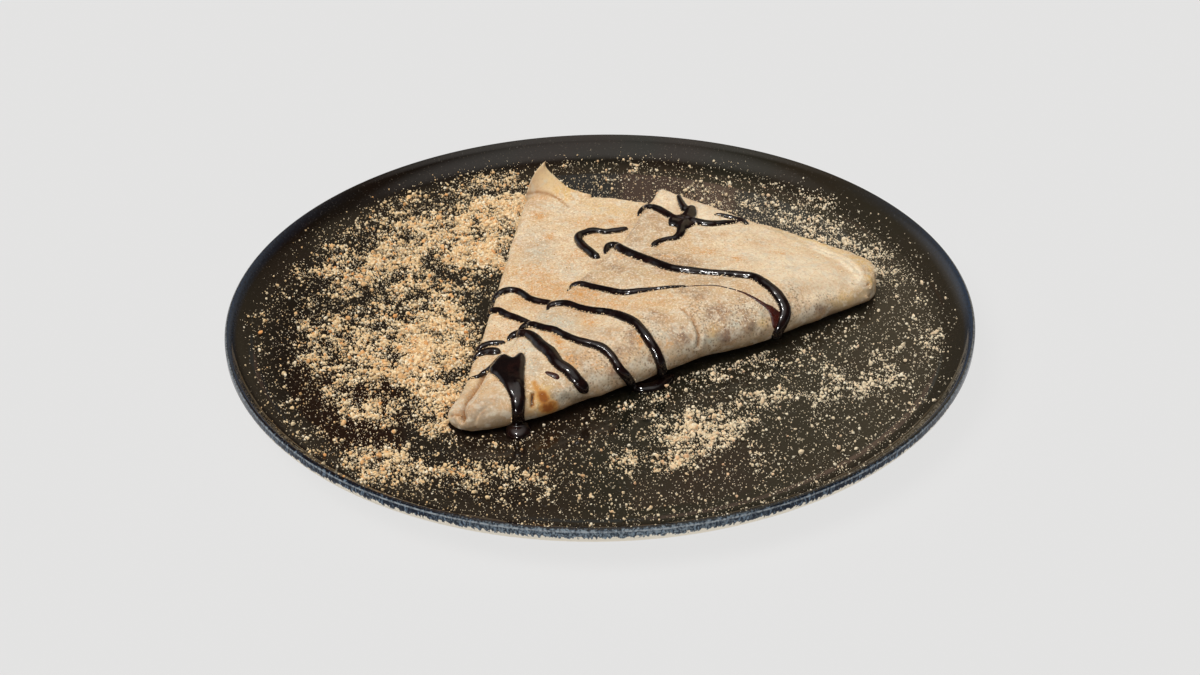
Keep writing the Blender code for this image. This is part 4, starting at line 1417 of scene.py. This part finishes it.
# Each flood is its outline, its height and the width of its rounded edge in mm
FLOODS = {
    "tip_flood": ([
        (484, 371), (488, 368), (493, 363), (499, 357), (505, 355), (510, 357), (514, 358),
        (519, 354), (524, 354), (526, 360), (525, 372), (525, 385), (524, 398), (523, 412),
        (517, 414), (512, 409), (510, 399), (506, 390), (500, 382), (494, 376),
        (489, 373)], 1.6, 2.0),
    "peak_hub": ([
        (671, 216), (680, 215), (686, 211), (689, 206), (695, 207), (697, 213), (696, 219),
        (697, 224), (690, 228), (684, 232), (679, 231), (675, 227), (669, 226),
        (668, 221)], 1.3, 1.6),
}
DROPS = {
    "drop_by_tip": ([
        (505, 432), (507, 427), (512, 424), (518, 423), (525, 424), (530, 427), (532, 432),
        (530, 436), (524, 439), (518, 440), (511, 439), (506, 436)], 3.4, 4.2),
}
THIN_SAUCE = {
    "crease_shade": [
        (684, 286, 2), (700, 285, 2.2), (715, 285, 2.4), (730, 288, 2.4), (743, 292, 3),
        (753, 297, 4), (764, 304, 5), (771, 309, 8), (776, 316, 12), (778, 324, 13), (777, 331, 8)],
    "dab": [
        (545, 371, 3), (549, 373, 5), (552, 374, 5.5), (556, 376, 6.5), (559, 379, 5.5)],
}
print("puddles:", len(PUDDLES), "floods:", len(FLOODS), "thin ones:", len(THIN_SAUCE))

# %% [markdown]
# The section of a strand is half an ellipse above the skin and a shallow one below it. Every
# point of it is first dropped on the skin and then lifted, which is why a wide flood of sauce
# bends over the ridge with the pancake.

# %% Lay a strand on the skin
MM_PER_PIXEL = 0.36
# Beside the photograph the drawn strands came out a little thin and half a pixel high
STRAND_FULLER = 1.12
STRAND_DROP = 0.5
THINNEST_STRAND = 1.2
STRAND_SIDES = 20
STRAND_SPACING = 0.45 * MM
SAMPLES_PER_PLACE = 30
STRAND_RISE = 0.5
TALLEST_STRAND = 1.9 * MM
SUNK_PART = 0.55 * MM
WOBBLE, WOBBLE_LENGTH = 0.07, 2.6 * MM


def whole_tree(objects):
    """One tree for several objects, to lay things on all of them."""
    points, faces = [], []
    for piece in objects:
        start = len(points)
        faces += [tuple(start + corner for corner in face.vertices) for face in piece.data.polygons]
        points += [point.co.copy() for point in piece.data.vertices]
    return BVHTree.FromPolygons(points, faces)


def strand_stations(tree, route):
    """Places, normals and widths along a strand, evenly spaced."""
    share = np.linspace(0, 1, SAMPLES_PER_PLACE * len(route))
    stations = []
    for column, row, width in curve_through(route, share):
        place, normal = on_surface(tree, column, row + STRAND_DROP)
        if not stations or (place - stations[-1][0]).length > STRAND_SPACING:
            pixels = max(THINNEST_STRAND, STRAND_FULLER * width)
            stations.append((place, normal, pixels * MM_PER_PIXEL * MM))
    return stations


def strand_tube(tree, route, flatness, wobble_seed):
    """Points and faces of one strand."""
    stations = strand_stations(tree, route)
    places = np.array([place for place, _, _ in stations])
    ahead = np.gradient(places, axis=0)
    rings = []
    last = len(stations) - 1
    for i, (place, normal, width) in enumerate(stations):
        from_end = min(i, last - i) * STRAND_SPACING
        rounded = math.sqrt(min(1, (from_end + 0.1 * width) / (0.5 * width)))
        run = Vector((i * STRAND_SPACING / WOBBLE_LENGTH, wobble_seed, 0))
        half = 0.5 * width * rounded * (1 + WOBBLE * noise.noise(run))
        lift = min(STRAND_RISE * width, TALLEST_STRAND) * rounded * flatness
        side = Vector(ahead[i]).cross(normal).normalized()
        ring = []
        for turn in np.linspace(0, math.tau, STRAND_SIDES, endpoint=False):
            foot, foot_normal, _, _ = tree.find_nearest(place + side * half * math.cos(turn))
            rise = lift if math.sin(turn) > 0 else SUNK_PART
            ring.append(foot + foot_normal * rise * math.sin(turn))
        rings.append(ring + ring[:1])
    points = np.array(rings)
    return points.reshape(-1, 3), grid_faces(len(rings), STRAND_SIDES + 1)


food_tree = whole_tree([crepe, corner])
plate_tree = surface_tree(plate.data)
print("longest strand:", len(strand_stations(food_tree, DRIZZLE["back_long"])), "stations")

# %% [markdown]
# A flood is a set of rings, from its middle out to its outline. Each ring lies on the surface and
# is lifted by the flood's height, which drops to nothing at the outline as a quarter circle.

# %% Pour the floods
FLOOD_SIDES, FLOOD_RINGS = 120, 24


def poured(tree, outline, height, edge):
    """Points and faces of a flood inside an outline: flat on top, round at its edge."""
    share = np.linspace(0, 1, FLOOD_SIDES + 1)
    border = curve_through(outline + outline[:1], share)
    middle = border[:-1].mean(axis=0)
    over, under = [], []
    for scale in np.linspace(0, 1, FLOOD_RINGS):
        ring = middle + (border - middle) * scale
        ring[-1] = ring[0]
        from_edge = np.array([np.linalg.norm(border - place, axis=1).min() for place in ring])
        inward = np.clip(from_edge * MM_PER_PIXEL / edge, 0, 1)
        rises = height * MM * np.sqrt(1 - (1 - inward) ** 2)
        top, foot = [], []
        for flat_place, rise in zip(ring, rises):
            place, normal = on_surface(tree, *flat_place)
            top.append(place + normal * rise)
            foot.append(place - normal * SUNK_PART * min(1, rise / MM))
        over.append(top)
        under.append(foot)
    points = np.array(over + under[-2::-1])
    return points.reshape(-1, 3), grid_faces(len(points), FLOOD_SIDES + 1)


def all_strands(name, laid, flatness, floods=()):
    """All strands and floods of one sauce as closed shapes in one mesh."""
    shapes = [strand_tube(tree, route, flatness, seed) for seed, (tree, route) in enumerate(laid)]
    shapes += [poured(tree, *flood) for tree, flood in floods]
    points, faces, start = [], [], 0
    for shape_points, shape_faces in shapes:
        points.append(shape_points)
        faces.append(shape_faces + start)
        start += len(shape_points)
    return closed_mesh(name, np.concatenate(points), np.concatenate(faces))


on_crepe = [(food_tree, route) for route in DRIZZLE.values()]
on_plate = [(plate_tree, route) for route in PUDDLES.values()]
floods = [(food_tree, flood) for flood in FLOODS.values()]
floods += [(plate_tree, drop) for drop in DROPS.values()]
thick_sauce = all_strands("strands", on_crepe + on_plate, 1.0, floods)
print("points of the loose strands:", len(thick_sauce.vertices))

# %% [markdown]
# Where strands cross, liquid joins: there is no seam between them. A voxel remesh of all the
# tubes gives one body, and a few rounds of smoothing draw the joints into fillets, as surface
# tension does.

# %% Join the strands to one sauce
SAUCE_VOXEL = 0.3 * MM
SMOOTHING, THIN_SMOOTHING = 4, 2
THIN_FLATNESS = 0.36


def melted(name, data, voxel, rounds):
    """One smooth body from overlapping closed shapes."""
    draft = add_object(name, data)
    remesh = draft.modifiers.new("melt", "REMESH")
    remesh.mode = "VOXEL"
    remesh.voxel_size = voxel
    smooth = draft.modifiers.new("settle", "SMOOTH")
    smooth.factor = 0.5
    smooth.iterations = rounds
    settled = draft.evaluated_get(bpy.context.evaluated_depsgraph_get())
    result = bpy.data.meshes.new_from_object(settled)
    bpy.data.objects.remove(draft)
    result.name = name
    return result


thin_ones = [(food_tree, route) for route in THIN_SAUCE.values()]
thin_strands = all_strands("thin", thin_ones, THIN_FLATNESS)
sauce_data = melted("chocolate_drizzle", thick_sauce, SAUCE_VOXEL, SMOOTHING)
thin_data = melted("thin_sauce", thin_strands, SAUCE_VOXEL, THIN_SMOOTHING)
print("sauce points:", len(sauce_data.vertices), "and", len(thin_data.vertices))

# %% [markdown]
# Chocolate sauce is almost black and very glossy, so it is drawn by its highlights more than by
# its colour. A coat over a slightly rougher base gives the two widths of highlight that a sugary
# film has. The thin sauce is the same stuff spread to a reddish-brown film.

# %% Mix the sauces
SAUCE_DARK = shade(15, 7, 8)
SAUCE_WARM = shade(30, 13, 11)
FILM_RED = shade(70, 24, 16)
FILM_DARK = shade(44, 14, 10)


def sauce_finish(name, first, second, roughness):
    """A wet, dark finish that drifts between two colours."""
    finish, tree, shader = new_finish(name, roughness)
    cloud = threshold(tree, grain(tree, 4 * MM, 3), 0.4, 0.7)
    tree.links.new(blend(tree, cloud, first, second), shader.inputs["Base Color"])
    film = threshold(tree, grain(tree, 2 * MM, 2), 0.3, 0.7, roughness * 0.7, roughness * 1.4)
    tree.links.new(film, shader.inputs["Roughness"])
    roughen(tree, shader, grain(tree, 1.8 * MM, 2), 0.06, 0.3 * MM)
    shader.inputs["Coat Weight"].default_value = 0.22
    shader.inputs["Coat Roughness"].default_value = 0.04
    return finish


sauce_data.materials.append(sauce_finish("chocolate_sauce", SAUCE_DARK, SAUCE_WARM, 0.16))
thin_data.materials.append(sauce_finish("thin_chocolate", FILM_RED, FILM_DARK, 0.3))
sauce = smooth_object("chocolate_drizzle", sauce_data)
thin_sauce = smooth_object("thin_sauce", thin_data)
for piece in (sauce, thin_sauce):
    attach(piece, "root")
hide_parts("crepe")
print("sauce reaches up to", round(read_points(sauce_data)[:, 2].max() / MM, 1), "mm")

# %% [markdown]
# ## The crumbs
#
# Dry crumbs were thrown over the plate by hand. They lie thick on the left, in drifts with bare
# streaks between them, and thin out to the right and to the rim. A few soft ellipses say where
# they lie, and noises of three sizes tear the ellipses into drifts. All of that is worked out
# once, for the cells of a fine grid, and each crumb then draws a cell to fall in.

# %% Where the crumbs lie
# Each drift is (x, y), (half length, half width) in mm, turn in degrees, and how thick it lies
DRIFTS = [
    ((-34, 84), (26, 17), 20, 0.75),
    ((-58, 74), (24, 16), 20, 0.48),
    ((-44, 54), (15, 13), 0, 0.85),
    ((-80, 48), (24, 17), 35, 0.54),
    ((-64, 24), (20, 18), 0, 0.32),
    ((-61, -10), (14, 25), -8, 0.82),
    ((-82, -16), (20, 32), 0, 0.44),
    ((-100, 0), (13, 30), 0, 0.32),
    ((-50, -48), (18, 17), -30, 0.66),
    ((-78, -50), (13, 14), 0, 0.44),
    ((-73, -87), (21, 12), -25, 0.44),
    ((-38, -93), (26, 9), -5, 0.33),
    ((34, -68), (16, 11), 25, 0.53),
    ((22, -84), (20, 8), 10, 0.36),
    ((54, -50), (18, 8), 28, 0.33),
    ((22, -47), (20, 7), 15, 0.18),
    ((64, -30), (34, 14), 30, 0.14),
    ((38, -34), (48, 7), 31, 0.18),
    ((88, -40), (20, 11), 30, 0.33),
    ((82, 68), (26, 12), -40, 0.34),
    ((106, 40), (10, 18), 15, 0.27),
    ((52, 84), (24, 13), -20, 0.23),
    ((86, 90), (14, 10), -40, 0.24),
    ((118, -12), (7, 16), 8, 0.28),
    ((-98, 66), (16, 20), 30, 0.22),
    ((-72, 92), (18, 12), 30, 0.3),
    ((-46, 106), (15, 8), 28, 0.4),
]
THINNEST = 0.09
CRUMB_REACH = 131
CELL = 0.8
DRIFT_FALL, DRIFT_EDGE = 0.7, 1.2
# Towards the rim the crumbs fade out over this length, in mm
FADE_LENGTH = 10
# Each tearing noise is its size in mm, its shift and its weight
TORN = [(12, (2, 6, 1), 0.8), (5.5, (7, 3, 2), 0.85), (2.4, (4, 9, 5), 0.7)]


def drift_cells():
    """The x and y of every cell, its covered share, and how likely it holds a lone crumb."""
    line = np.arange(-CRUMB_REACH, CRUMB_REACH, CELL)
    x, y = (axis.ravel() for axis in np.meshgrid(line, line))
    inside = np.hypot(x, y) < CRUMB_REACH
    x, y = x[inside], y[inside]
    drift = np.full(len(x), THINNEST)
    for middle, halves, turn, strength in DRIFTS:
        out = in_ellipse(x, y, middle, halves, turn)
        drift = np.maximum(drift, strength * np.exp(-DRIFT_FALL * out**DRIFT_EDGE))
    places = np.c_[x, y, np.zeros(len(x))] * MM
    torn = sum(weight * noise_at(places, size * MM, Vector(shift)) for size, shift, weight in TORN)
    fade = np.clip((CRUMB_REACH - np.hypot(x, y)) / FADE_LENGTH, 0, 1)
    cover = np.clip(1.2 * drift - 0.2 + torn * np.sqrt(drift), 0, 1) + 0.05 * (drift + 0.2)
    return x, y, np.clip(cover * fade, 0, 1), (drift + 0.08) * fade


cell_x, cell_y, cell_cover, cell_strewn = drift_cells()
print("cells:", len(cell_x), "mean cover:", round(float(cell_cover.mean()), 2))

# %% [markdown]
# Each crumb gets its own size, turn and squash, and its points are pushed about a little, so
# that no two look alike. A large one has 20 faces, a small one 8 and a fine one 4, since it shows
# as a speck. All crumbs of one kind are one mesh, which is worked out in a few array steps
# instead of one object at a time. A painted number per crumb sets its colour, and a second one
# says how far right it lies, because the crumbs there get painted light: they are painted paler.

# %% Make crumbs as one mesh
draw = np.random.default_rng(20)
# How far a crumb's points are pushed out or in, and its three widths stretched or squashed
PUSHED = (0.7, 1.25)
SQUASHED = (0.65, 1.15)
COOL_LIGHT_MIDDLE, COOL_LIGHT_OVER = 0.35, 140 * MM


def rough_stone(sides):
    """The points and faces of the stone that a crumb starts from: 4, 8 or 20 faces."""
    work = bmesh.new()
    if sides == 20:
        bmesh.ops.create_icosphere(work, subdivisions=1, radius=0.5)
    elif sides == 8:
        bmesh.ops.create_uvsphere(work, u_segments=4, v_segments=2, radius=0.5)
    else:
        ends = ((0.4, 0.4, 0.4), (-0.4, -0.4, 0.4), (-0.4, 0.4, -0.4), (0.4, -0.4, -0.4))
        corners = [work.verts.new(end) for end in ends]
        for a, b, c in ((0, 2, 1), (0, 1, 3), (0, 3, 2), (1, 2, 3)):
            work.faces.new([corners[a], corners[b], corners[c]])
    work.verts.index_update()
    points = np.array([point.co[:] for point in work.verts])
    faces = np.array([[corner.index for corner in face.verts] for face in work.faces])
    work.free()
    return points, faces


def random_turns(count):
    """That many random rotations, as 3 by 3 arrays, from quaternions of length 1."""
    a, b, c, d = draw.normal(size=(count, 4)).T
    size = np.sqrt(a * a + b * b + c * c + d * d)
    a, b, c, d = a / size, b / size, c / size, d / size
    rows = [
        [1 - 2 * (c * c + d * d), 2 * (b * c - a * d), 2 * (b * d + a * c)],
        [2 * (b * c + a * d), 1 - 2 * (b * b + d * d), 2 * (c * d - a * b)],
        [2 * (b * d - a * c), 2 * (c * d + a * b), 1 - 2 * (b * b + c * c)],
    ]
    return np.array(rows).transpose(2, 0, 1)


def crumb_mesh(name, centres, sizes, sides):
    """Every crumb of one kind, at its centre and size in metres."""
    stone, faces = rough_stone(sides)
    count, corners = len(centres), len(stone)
    pushed = draw.uniform(*PUSHED, (count, corners, 1))
    shapes = stone[None] * pushed * draw.uniform(*SQUASHED, (count, 1, 3))
    shapes = np.einsum("nij,nkj->nki", random_turns(count), shapes) * sizes[:, None, None]
    points = (shapes + centres[:, None]).reshape(-1, 3)
    numbered = (faces[None] + (np.arange(count) * corners)[:, None, None]).reshape(-1, 3)
    data = bpy.data.meshes.new(name)
    data.from_pydata(points.tolist(), [], numbered.tolist())
    paint(data, "crumb_colour", np.repeat(draw.uniform(0, 1, count), corners))
    # Painted light: how much paler a crumb is painted, rising to the right
    painted_cool_light = np.clip(COOL_LIGHT_MIDDLE + centres[:, 0] / COOL_LIGHT_OVER, 0, 1)
    paint(data, "painted_cool_light", np.repeat(painted_cool_light, corners))
    return data


print("faces of each kind of stone:", [len(rough_stone(sides)[1]) for sides in (20, 8, 4)])

# %% Scatter crumbs over the plate
ABOVE_FOOD = 60 * MM
# Even the thickest drift leaves a little of the glaze bare, and crumbs pile up in thick ones only
FULLEST = 0.93
PILE_HEIGHT, PILE_GAIN = 1.3, 1.6
# A crumb's middle stands this share of its size above the glaze
SEAT = 0.38
sauce_tree = surface_tree(sauce_data)


def covered(x, y):
    """True where the crepe or its sauce lies over a place of the plate, in mm."""
    down, drop = Vector((0, 0, -1)), ABOVE_FOOD - FLOOR_TOP
    starts = [Vector((a * MM, b * MM, ABOVE_FOOD)) for a, b in zip(x, y)]
    trees = (food_tree, sauce_tree)
    hits = [any(tree.ray_cast(start, down, drop)[0] for tree in trees) for start in starts]
    return np.array(hits)


def scatter(count, size_middle, size_spread, smallest, largest, strewn=0.0):
    """Centres and sizes of crumbs that fell on the plate. Some are strewn singly, others drift."""
    layers = -np.log(1 - FULLEST * cell_cover)
    chance = (1 - strewn) * layers / layers.sum() + strewn * cell_strewn / cell_strewn.sum()
    cell = draw.choice(len(cell_x), count, p=chance)
    x = cell_x[cell] + draw.uniform(-0.5, 0.5, count) * CELL
    y = cell_y[cell] + draw.uniform(-0.5, 0.5, count) * CELL
    free = ~covered(x, y)
    x, y, cover = x[free], y[free], cell_cover[cell[free]]
    sizes = size_middle * np.exp(draw.normal(0, size_spread, len(x)))
    sizes = np.clip(sizes, smallest, largest) * MM
    thick = np.clip(PILE_GAIN * cover - (PILE_GAIN - 1), 0, 1)
    piled = PILE_HEIGHT * draw.uniform(0, 1, len(x)) * thick * MM
    height = lip_height(np.hypot(x, y)) * MM + SEAT * sizes + piled
    return np.c_[x * MM, y * MM, height], sizes


# Each kind is how many fell, their middle size in mm, its spread, the smallest and largest, the
# share strewn singly, and the faces of one crumb
FALLEN = {
    "cream_crumbs": (6200, 0.98, 0.28, 0.55, 2.3, 0.0, 20),
    "pale_crumbs": (7200, 0.82, 0.25, 0.5, 1.7, 0.0, 20),
    "small_crumbs": (19500, 0.56, 0.25, 0.35, 1.0, 0.2, 8),
    "fine_crumbs": (57000, 0.34, 0.25, 0.22, 0.6, 0.42, 4),
    "toasted_crumbs": (1300, 0.95, 0.35, 0.5, 2.3, 0.0, 20),
}
crumbs = {}
for name, (*fallen, sides) in FALLEN.items():
    crumbs[name] = crumb_mesh(name, *scatter(*fallen), sides)
    print(name, len(crumbs[name].polygons), "faces")

# %% [markdown]
# Crumbs and flour-fine dust stick to the pancake too, most of all on its flat top and along the
# edges of the sauce, which catch them while it is wet.

# %% Scatter crumbs over the crepe
BARE_SHARE = 0.1
TOP_SPREAD, TOP_SMALLEST = 0.3, 0.16
ASIDE = 0.3 * MM
TOP_SEAT = 0.25
# Caught crumbs lie within this distance of the skin, and stand out of the sauce by this height
SAUCE_EDGE, CAUGHT_OUT = 0.55 * MM, 0.12 * MM


def on_top(tries, size_middle, largest):
    """Crumbs on the crepe's upper side, thicker where orange dust was painted."""
    points, normals = read_points(crepe.data), read_normals(crepe.data)
    dust = np.empty(len(points))
    crepe.data.attributes["orange_dust"].data.foreach_get("value", dust)
    upward = np.clip(normals[:, 2] * 2 - 0.9, 0, 1) * (points[:, 2] > FLOOR_TOP + 3 * MM)
    # The rows of points fan out from the wedge's tip, so each point further out stands for more
    weight = upward * wedge_places(points)[0] * (BARE_SHARE + np.clip(dust, 0, 1))
    chosen = draw.choice(len(points), tries, p=weight / weight.sum())
    sizes = size_middle * np.exp(draw.normal(0, TOP_SPREAD, tries))
    sizes = np.clip(sizes, TOP_SMALLEST, largest) * MM
    aside = draw.normal(0, ASIDE, (tries, 3))
    feet = [dressed_skin.find_nearest(Vector(place))[:2] for place in points[chosen] + aside]
    centres = [place + normal * size * TOP_SEAT for (place, normal), size in zip(feet, sizes)]
    return np.array(centres), sizes


def along_sauce(count):
    """Crumbs caught at the edges of the strands."""
    points, normals = read_points(sauce.data), read_normals(sauce.data)
    near = np.array([food_tree.find_nearest(Vector(point))[3] or 0 for point in points])
    edge = (near < SAUCE_EDGE) & (normals[:, 2] > -0.2) & (points[:, 2] > FLOOR_TOP + 4 * MM)
    chosen = draw.choice(np.flatnonzero(edge), count)
    sizes = np.clip(0.36 * np.exp(draw.normal(0, 0.35, count)), 0.2, 0.9) * MM
    return points[chosen] + normals[chosen] * CAUGHT_OUT, sizes


dressed_skin = surface_tree(crepe.data)
fine_top = on_top(13000, 0.28, 0.5)
coarse_top = on_top(1500, 0.48, 1.1)
caught = along_sauce(1500)
coarse = [np.concatenate(pair) for pair in zip(coarse_top, caught)]
crumbs["dust_on_crepe"] = crumb_mesh("dust_on_crepe", *fine_top, 8)
crumbs["crumbs_on_crepe"] = crumb_mesh("crumbs_on_crepe", *coarse, 20)
print("dust and crumbs on the crepe:", len(fine_top[1]), "and", len(coarse[1]))

# %% [markdown]
# The crumbs are dry, so they are quite matt. Their colour runs from pale cream to tan with the
# number of each crumb, and the toasted ones from gold to orange. Those on the right get painted
# light: they are painted paler, towards one cool pale cream.

# %% Mix the crumbs' finish
COOL_LIGHT_CREAM = shade(245, 238, 219)


def crumb_finish(name, light, middle, deep):
    """A matt finish that gives each crumb one of the shades from light to deep."""
    finish, tree, shader = new_finish(name, 0.85)
    pick = painted(tree, "crumb_colour")
    colour = blend(tree, threshold(tree, pick, 0.0, 0.6), light, middle)
    colour = blend(tree, threshold(tree, pick, 0.6, 1.0), colour, deep)
    # Painted light: crumbs further right are painted paler, as if in cooler, brighter light
    colour = blend(tree, times(tree, painted(tree, "painted_cool_light"), 0.6), colour, COOL_LIGHT_CREAM)
    mottle = threshold(tree, grain(tree, 0.3 * MM, 2), 0.4, 0.7, 0.0, 0.3)
    tree.links.new(blend(tree, mottle, colour, deep), shader.inputs["Base Color"])
    shader.inputs["Specular IOR Level"].default_value = 0.2
    return finish


# Each finish is its light, its middle and its deep shade
CRUMB_SHADES = {
    "cream_crumb": (shade(248, 228, 190), shade(241, 212, 166), shade(233, 192, 140)),
    "pale_crumb": (shade(253, 244, 222), shade(249, 232, 200), shade(240, 212, 166)),
    "crumb_speck": (shade(248, 236, 212), shade(239, 221, 188), shade(225, 197, 154)),
    "toasted_crumb": (shade(243, 206, 154), shade(237, 186, 128), shade(227, 164, 104)),
    "crumb_dust": (shade(244, 230, 202), shade(232, 200, 156), shade(220, 168, 112)),
}
OTHER_FINISH = {"pale_crumbs": "pale_crumb", "fine_crumbs": "crumb_speck",
                "toasted_crumbs": "toasted_crumb", "dust_on_crepe": "crumb_dust"}
finishes = {name: crumb_finish(name, *shades) for name, shades in CRUMB_SHADES.items()}
for name, data in crumbs.items():
    data.materials.append(finishes[OTHER_FINISH.get(name, "cream_crumb")])
    piece = add_object(name, data)
    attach(piece, "root")
print("crumb faces in all:", sum(len(data.polygons) for data in crumbs.values()))

# %% [markdown]
# ## Floor and light
#
# The setting is a studio: a pale ground that hardly shows a shadow, and one broad soft light
# above the camera's left side. A glossy glaze shows whatever it faces, so the rest of the room
# matters as much as the light. The sky here is dim overhead, bright where the soft light hangs,
# and a little bright at the left horizon. Behind the plate stand a few dim panels, cold and
# brown, which the floor of the plate mirrors as it would mirror the far side of a room.

# %% Set the ground and the sky
GROUND_SHADE = shade(227, 227, 227)
GROUND_GLOW = 0.9
SKY_BASE = (0.035, 0.03, 0.025)
# Each light of the sky is its direction, the angles at which it is full and gone, and its colour
SKY_LIGHTS = {
    "overhead": ((0, -0.15, 1), 12, 44, (0.85, 0.82, 0.78)),
    "room": ((0.38, 0.8, 0.5), 10, 32, (0.38, 0.31, 0.2)),
    "left_horizon": ((-0.8, 0.55, 0.12), 8, 30, (0.38, 0.4, 0.43)),
}
LOW_LIGHT = 0.55
GROUND_REACH = 6.0


def glowing_sheet(name, corners, colour, light, power):
    """A flat sheet that glows by itself, and its shader."""
    data = bpy.data.meshes.new(name)
    data.from_pydata(corners, [], [(0, 1, 2, 3)])
    finish, _, shader = new_finish(name, 1.0)
    shader.inputs["Base Color"].default_value = (*colour, 1)
    shader.inputs["Emission Color"].default_value = (*light, 1)
    shader.inputs["Emission Strength"].default_value = power
    data.materials.append(finish)
    return add_object(name, data), shader


def ground():
    """A pale ground. It glows, so that shadows on it stay faint."""
    far, unlit = GROUND_REACH, [c * (1 - GROUND_GLOW) for c in GROUND_SHADE[:3]]
    corners = [(-far, -far, 0), (far, -far, 0), (far, far, 0), (-far, far, 0)]
    made, shader = glowing_sheet("ground", corners, unlit, GROUND_SHADE[:3], GROUND_GLOW)
    shader.inputs["Specular IOR Level"].default_value = 0.0


def glow(tree, direction, full, gone, colour):
    """Light from the sky round a direction: full within one angle, and gone at another."""
    sockets = {0: wire(tree, "TexCoord").outputs["Generated"], 1: Vector(direction).normalized()}
    aligned = wire(tree, "VectorMath", sockets, operation="DOT_PRODUCT").outputs["Value"]
    low, high = math.cos(math.radians(gone)), math.cos(math.radians(full))
    sockets = {0: colour, "Scale": threshold(tree, aligned, low, high)}
    return wire(tree, "VectorMath", sockets, operation="SCALE").outputs["Vector"]


def lights_added(tree, first, second):
    """The sum of two lights of the sky."""
    sockets = {0: first, 1: second}
    return wire(tree, "VectorMath", sockets, operation="ADD").outputs["Vector"]


sky = bpy.data.worlds.new("studio")
sky.use_nodes = True
tree = sky.node_tree
up = wire(tree, "SeparateXYZ", {0: wire(tree, "TexCoord").outputs["Generated"]}).outputs["Z"]
total = lights_added(tree, SKY_BASE, threshold(tree, up, -0.05, 0.0, LOW_LIGHT, 0.0))
for light in SKY_LIGHTS.values():
    total = lights_added(tree, total, glow(tree, *light))
tree.links.new(total, tree.nodes["Background"].inputs["Color"])
bpy.context.scene.world = sky
ground()
print("sky nodes:", len(tree.nodes))

# %% [markdown]
# The panels are drawn where the eye's rays go after they have met the plate. A ray through the
# back of the plate climbs at 28 to 30 degrees, and one through its front at 35, so on a wall one
# and a half metres away they come between 0.74 m and 1.19 m high.

# %% Stand dim panels behind the plate
WALL_DISTANCE = 1.5
# Each panel is its left and right, its low and high side in metres, and its light
PANELS = {
    "cold_pane": ((-0.036, 0.019), (0.68, 0.84), (0.23, 0.26, 0.25)),
    "brown_pane": ((0.022, 0.078), (0.68, 0.84), (0.66, 0.44, 0.34)),
    "brown_pane_right": ((0.082, 0.131), (0.68, 0.84), (1.0, 0.66, 0.48)),
    "cold_pane_right": ((0.134, 0.27), (0.68, 0.87), (0.42, 0.42, 0.37)),
    "brown_front": ((0.028, 0.094), (1.125, 1.2), (0.44, 0.29, 0.2)),
    "brown_front_right": ((0.097, 0.165), (1.10, 1.155), (0.38, 0.28, 0.2)),
    "dark_left": ((-0.31, -0.2), (0.98, 1.12), (0.11, 0.035, 0.015)),
    "dark_post": ((-0.099, -0.084), (1.08, 1.2), (0.05, 0.05, 0.04)),
}


def stand_panel(name, across, heights, light):
    """A rectangle of dim light that only reflections see."""
    (left, right), (low, high) = across, heights
    places = [(left, low), (right, low), (right, high), (left, high)]
    corners = [(x, WALL_DISTANCE, z) for x, z in places]
    panel, _ = glowing_sheet(name, corners, (0, 0, 0), light, 1.0)
    panel.visible_camera = panel.visible_diffuse = panel.visible_shadow = False


for name, panel in PANELS.items():
    stand_panel(name, *panel)
print("panels:", len(PANELS))

# %% [markdown]
# Two suns light the food: a broad key from the left, and a very broad fill from the front.
# Neither shows in reflections, which belong to the sky and the panels. Wet sauce needs
# small hard glints as well, and two small lamps give them. They shine on the sauce alone, by
# light linking, because they would draw a second bright streak round the rim, which the real
# plate doesn't show.

# %% Hang the lamps
KEY_POWER, KEY_ANGLE, KEY_COLOUR = 1.85, 36, (1.0, 0.97, 0.92)
FILL_POWER, FILL_ANGLE = 1.0, 100
SOFT_WHITE = (1.0, 0.98, 0.96)
GLINTS = {"glint_high": (-0.25, -0.42, 1.1), "glint_low": (-0.3, -1.1, 0.42)}
GLINT_POWER, GLINT_WIDTH = 6.0, 0.09


def hang(name, kind, energy, place, colour):
    """A lamp that looks at the plate from a place in metres."""
    data = bpy.data.lights.new(name, kind)
    data.energy = energy
    data.color = colour
    lamp = add_object(name, data)
    facing = Vector(place).to_track_quat("Z", "Y").to_matrix().to_4x4()
    lamp.matrix_world = Matrix.Translation(place) @ facing
    return lamp


key = hang("key", "SUN", KEY_POWER, (-0.55, -0.25, 0.9), KEY_COLOUR)
key.data.angle = math.radians(KEY_ANGLE)
fill = hang("fill", "SUN", FILL_POWER, (0.35, -0.6, 0.9), SOFT_WHITE)
fill.data.angle = math.radians(FILL_ANGLE)
for lamp in (key, fill):
    lamp.visible_glossy = False
wet = bpy.data.collections.new("wet_sauce")
for piece in (sauce, thin_sauce):
    wet.objects.link(piece)
for name, place in GLINTS.items():
    glint = hang(name, "AREA", GLINT_POWER, place, SOFT_WHITE)
    glint.data.shape = "DISK"
    glint.data.size = GLINT_WIDTH
    glint.visible_diffuse = False
    glint.light_linking.receiver_collection = wet
bpy.context.scene.view_settings.view_transform = "Standard"
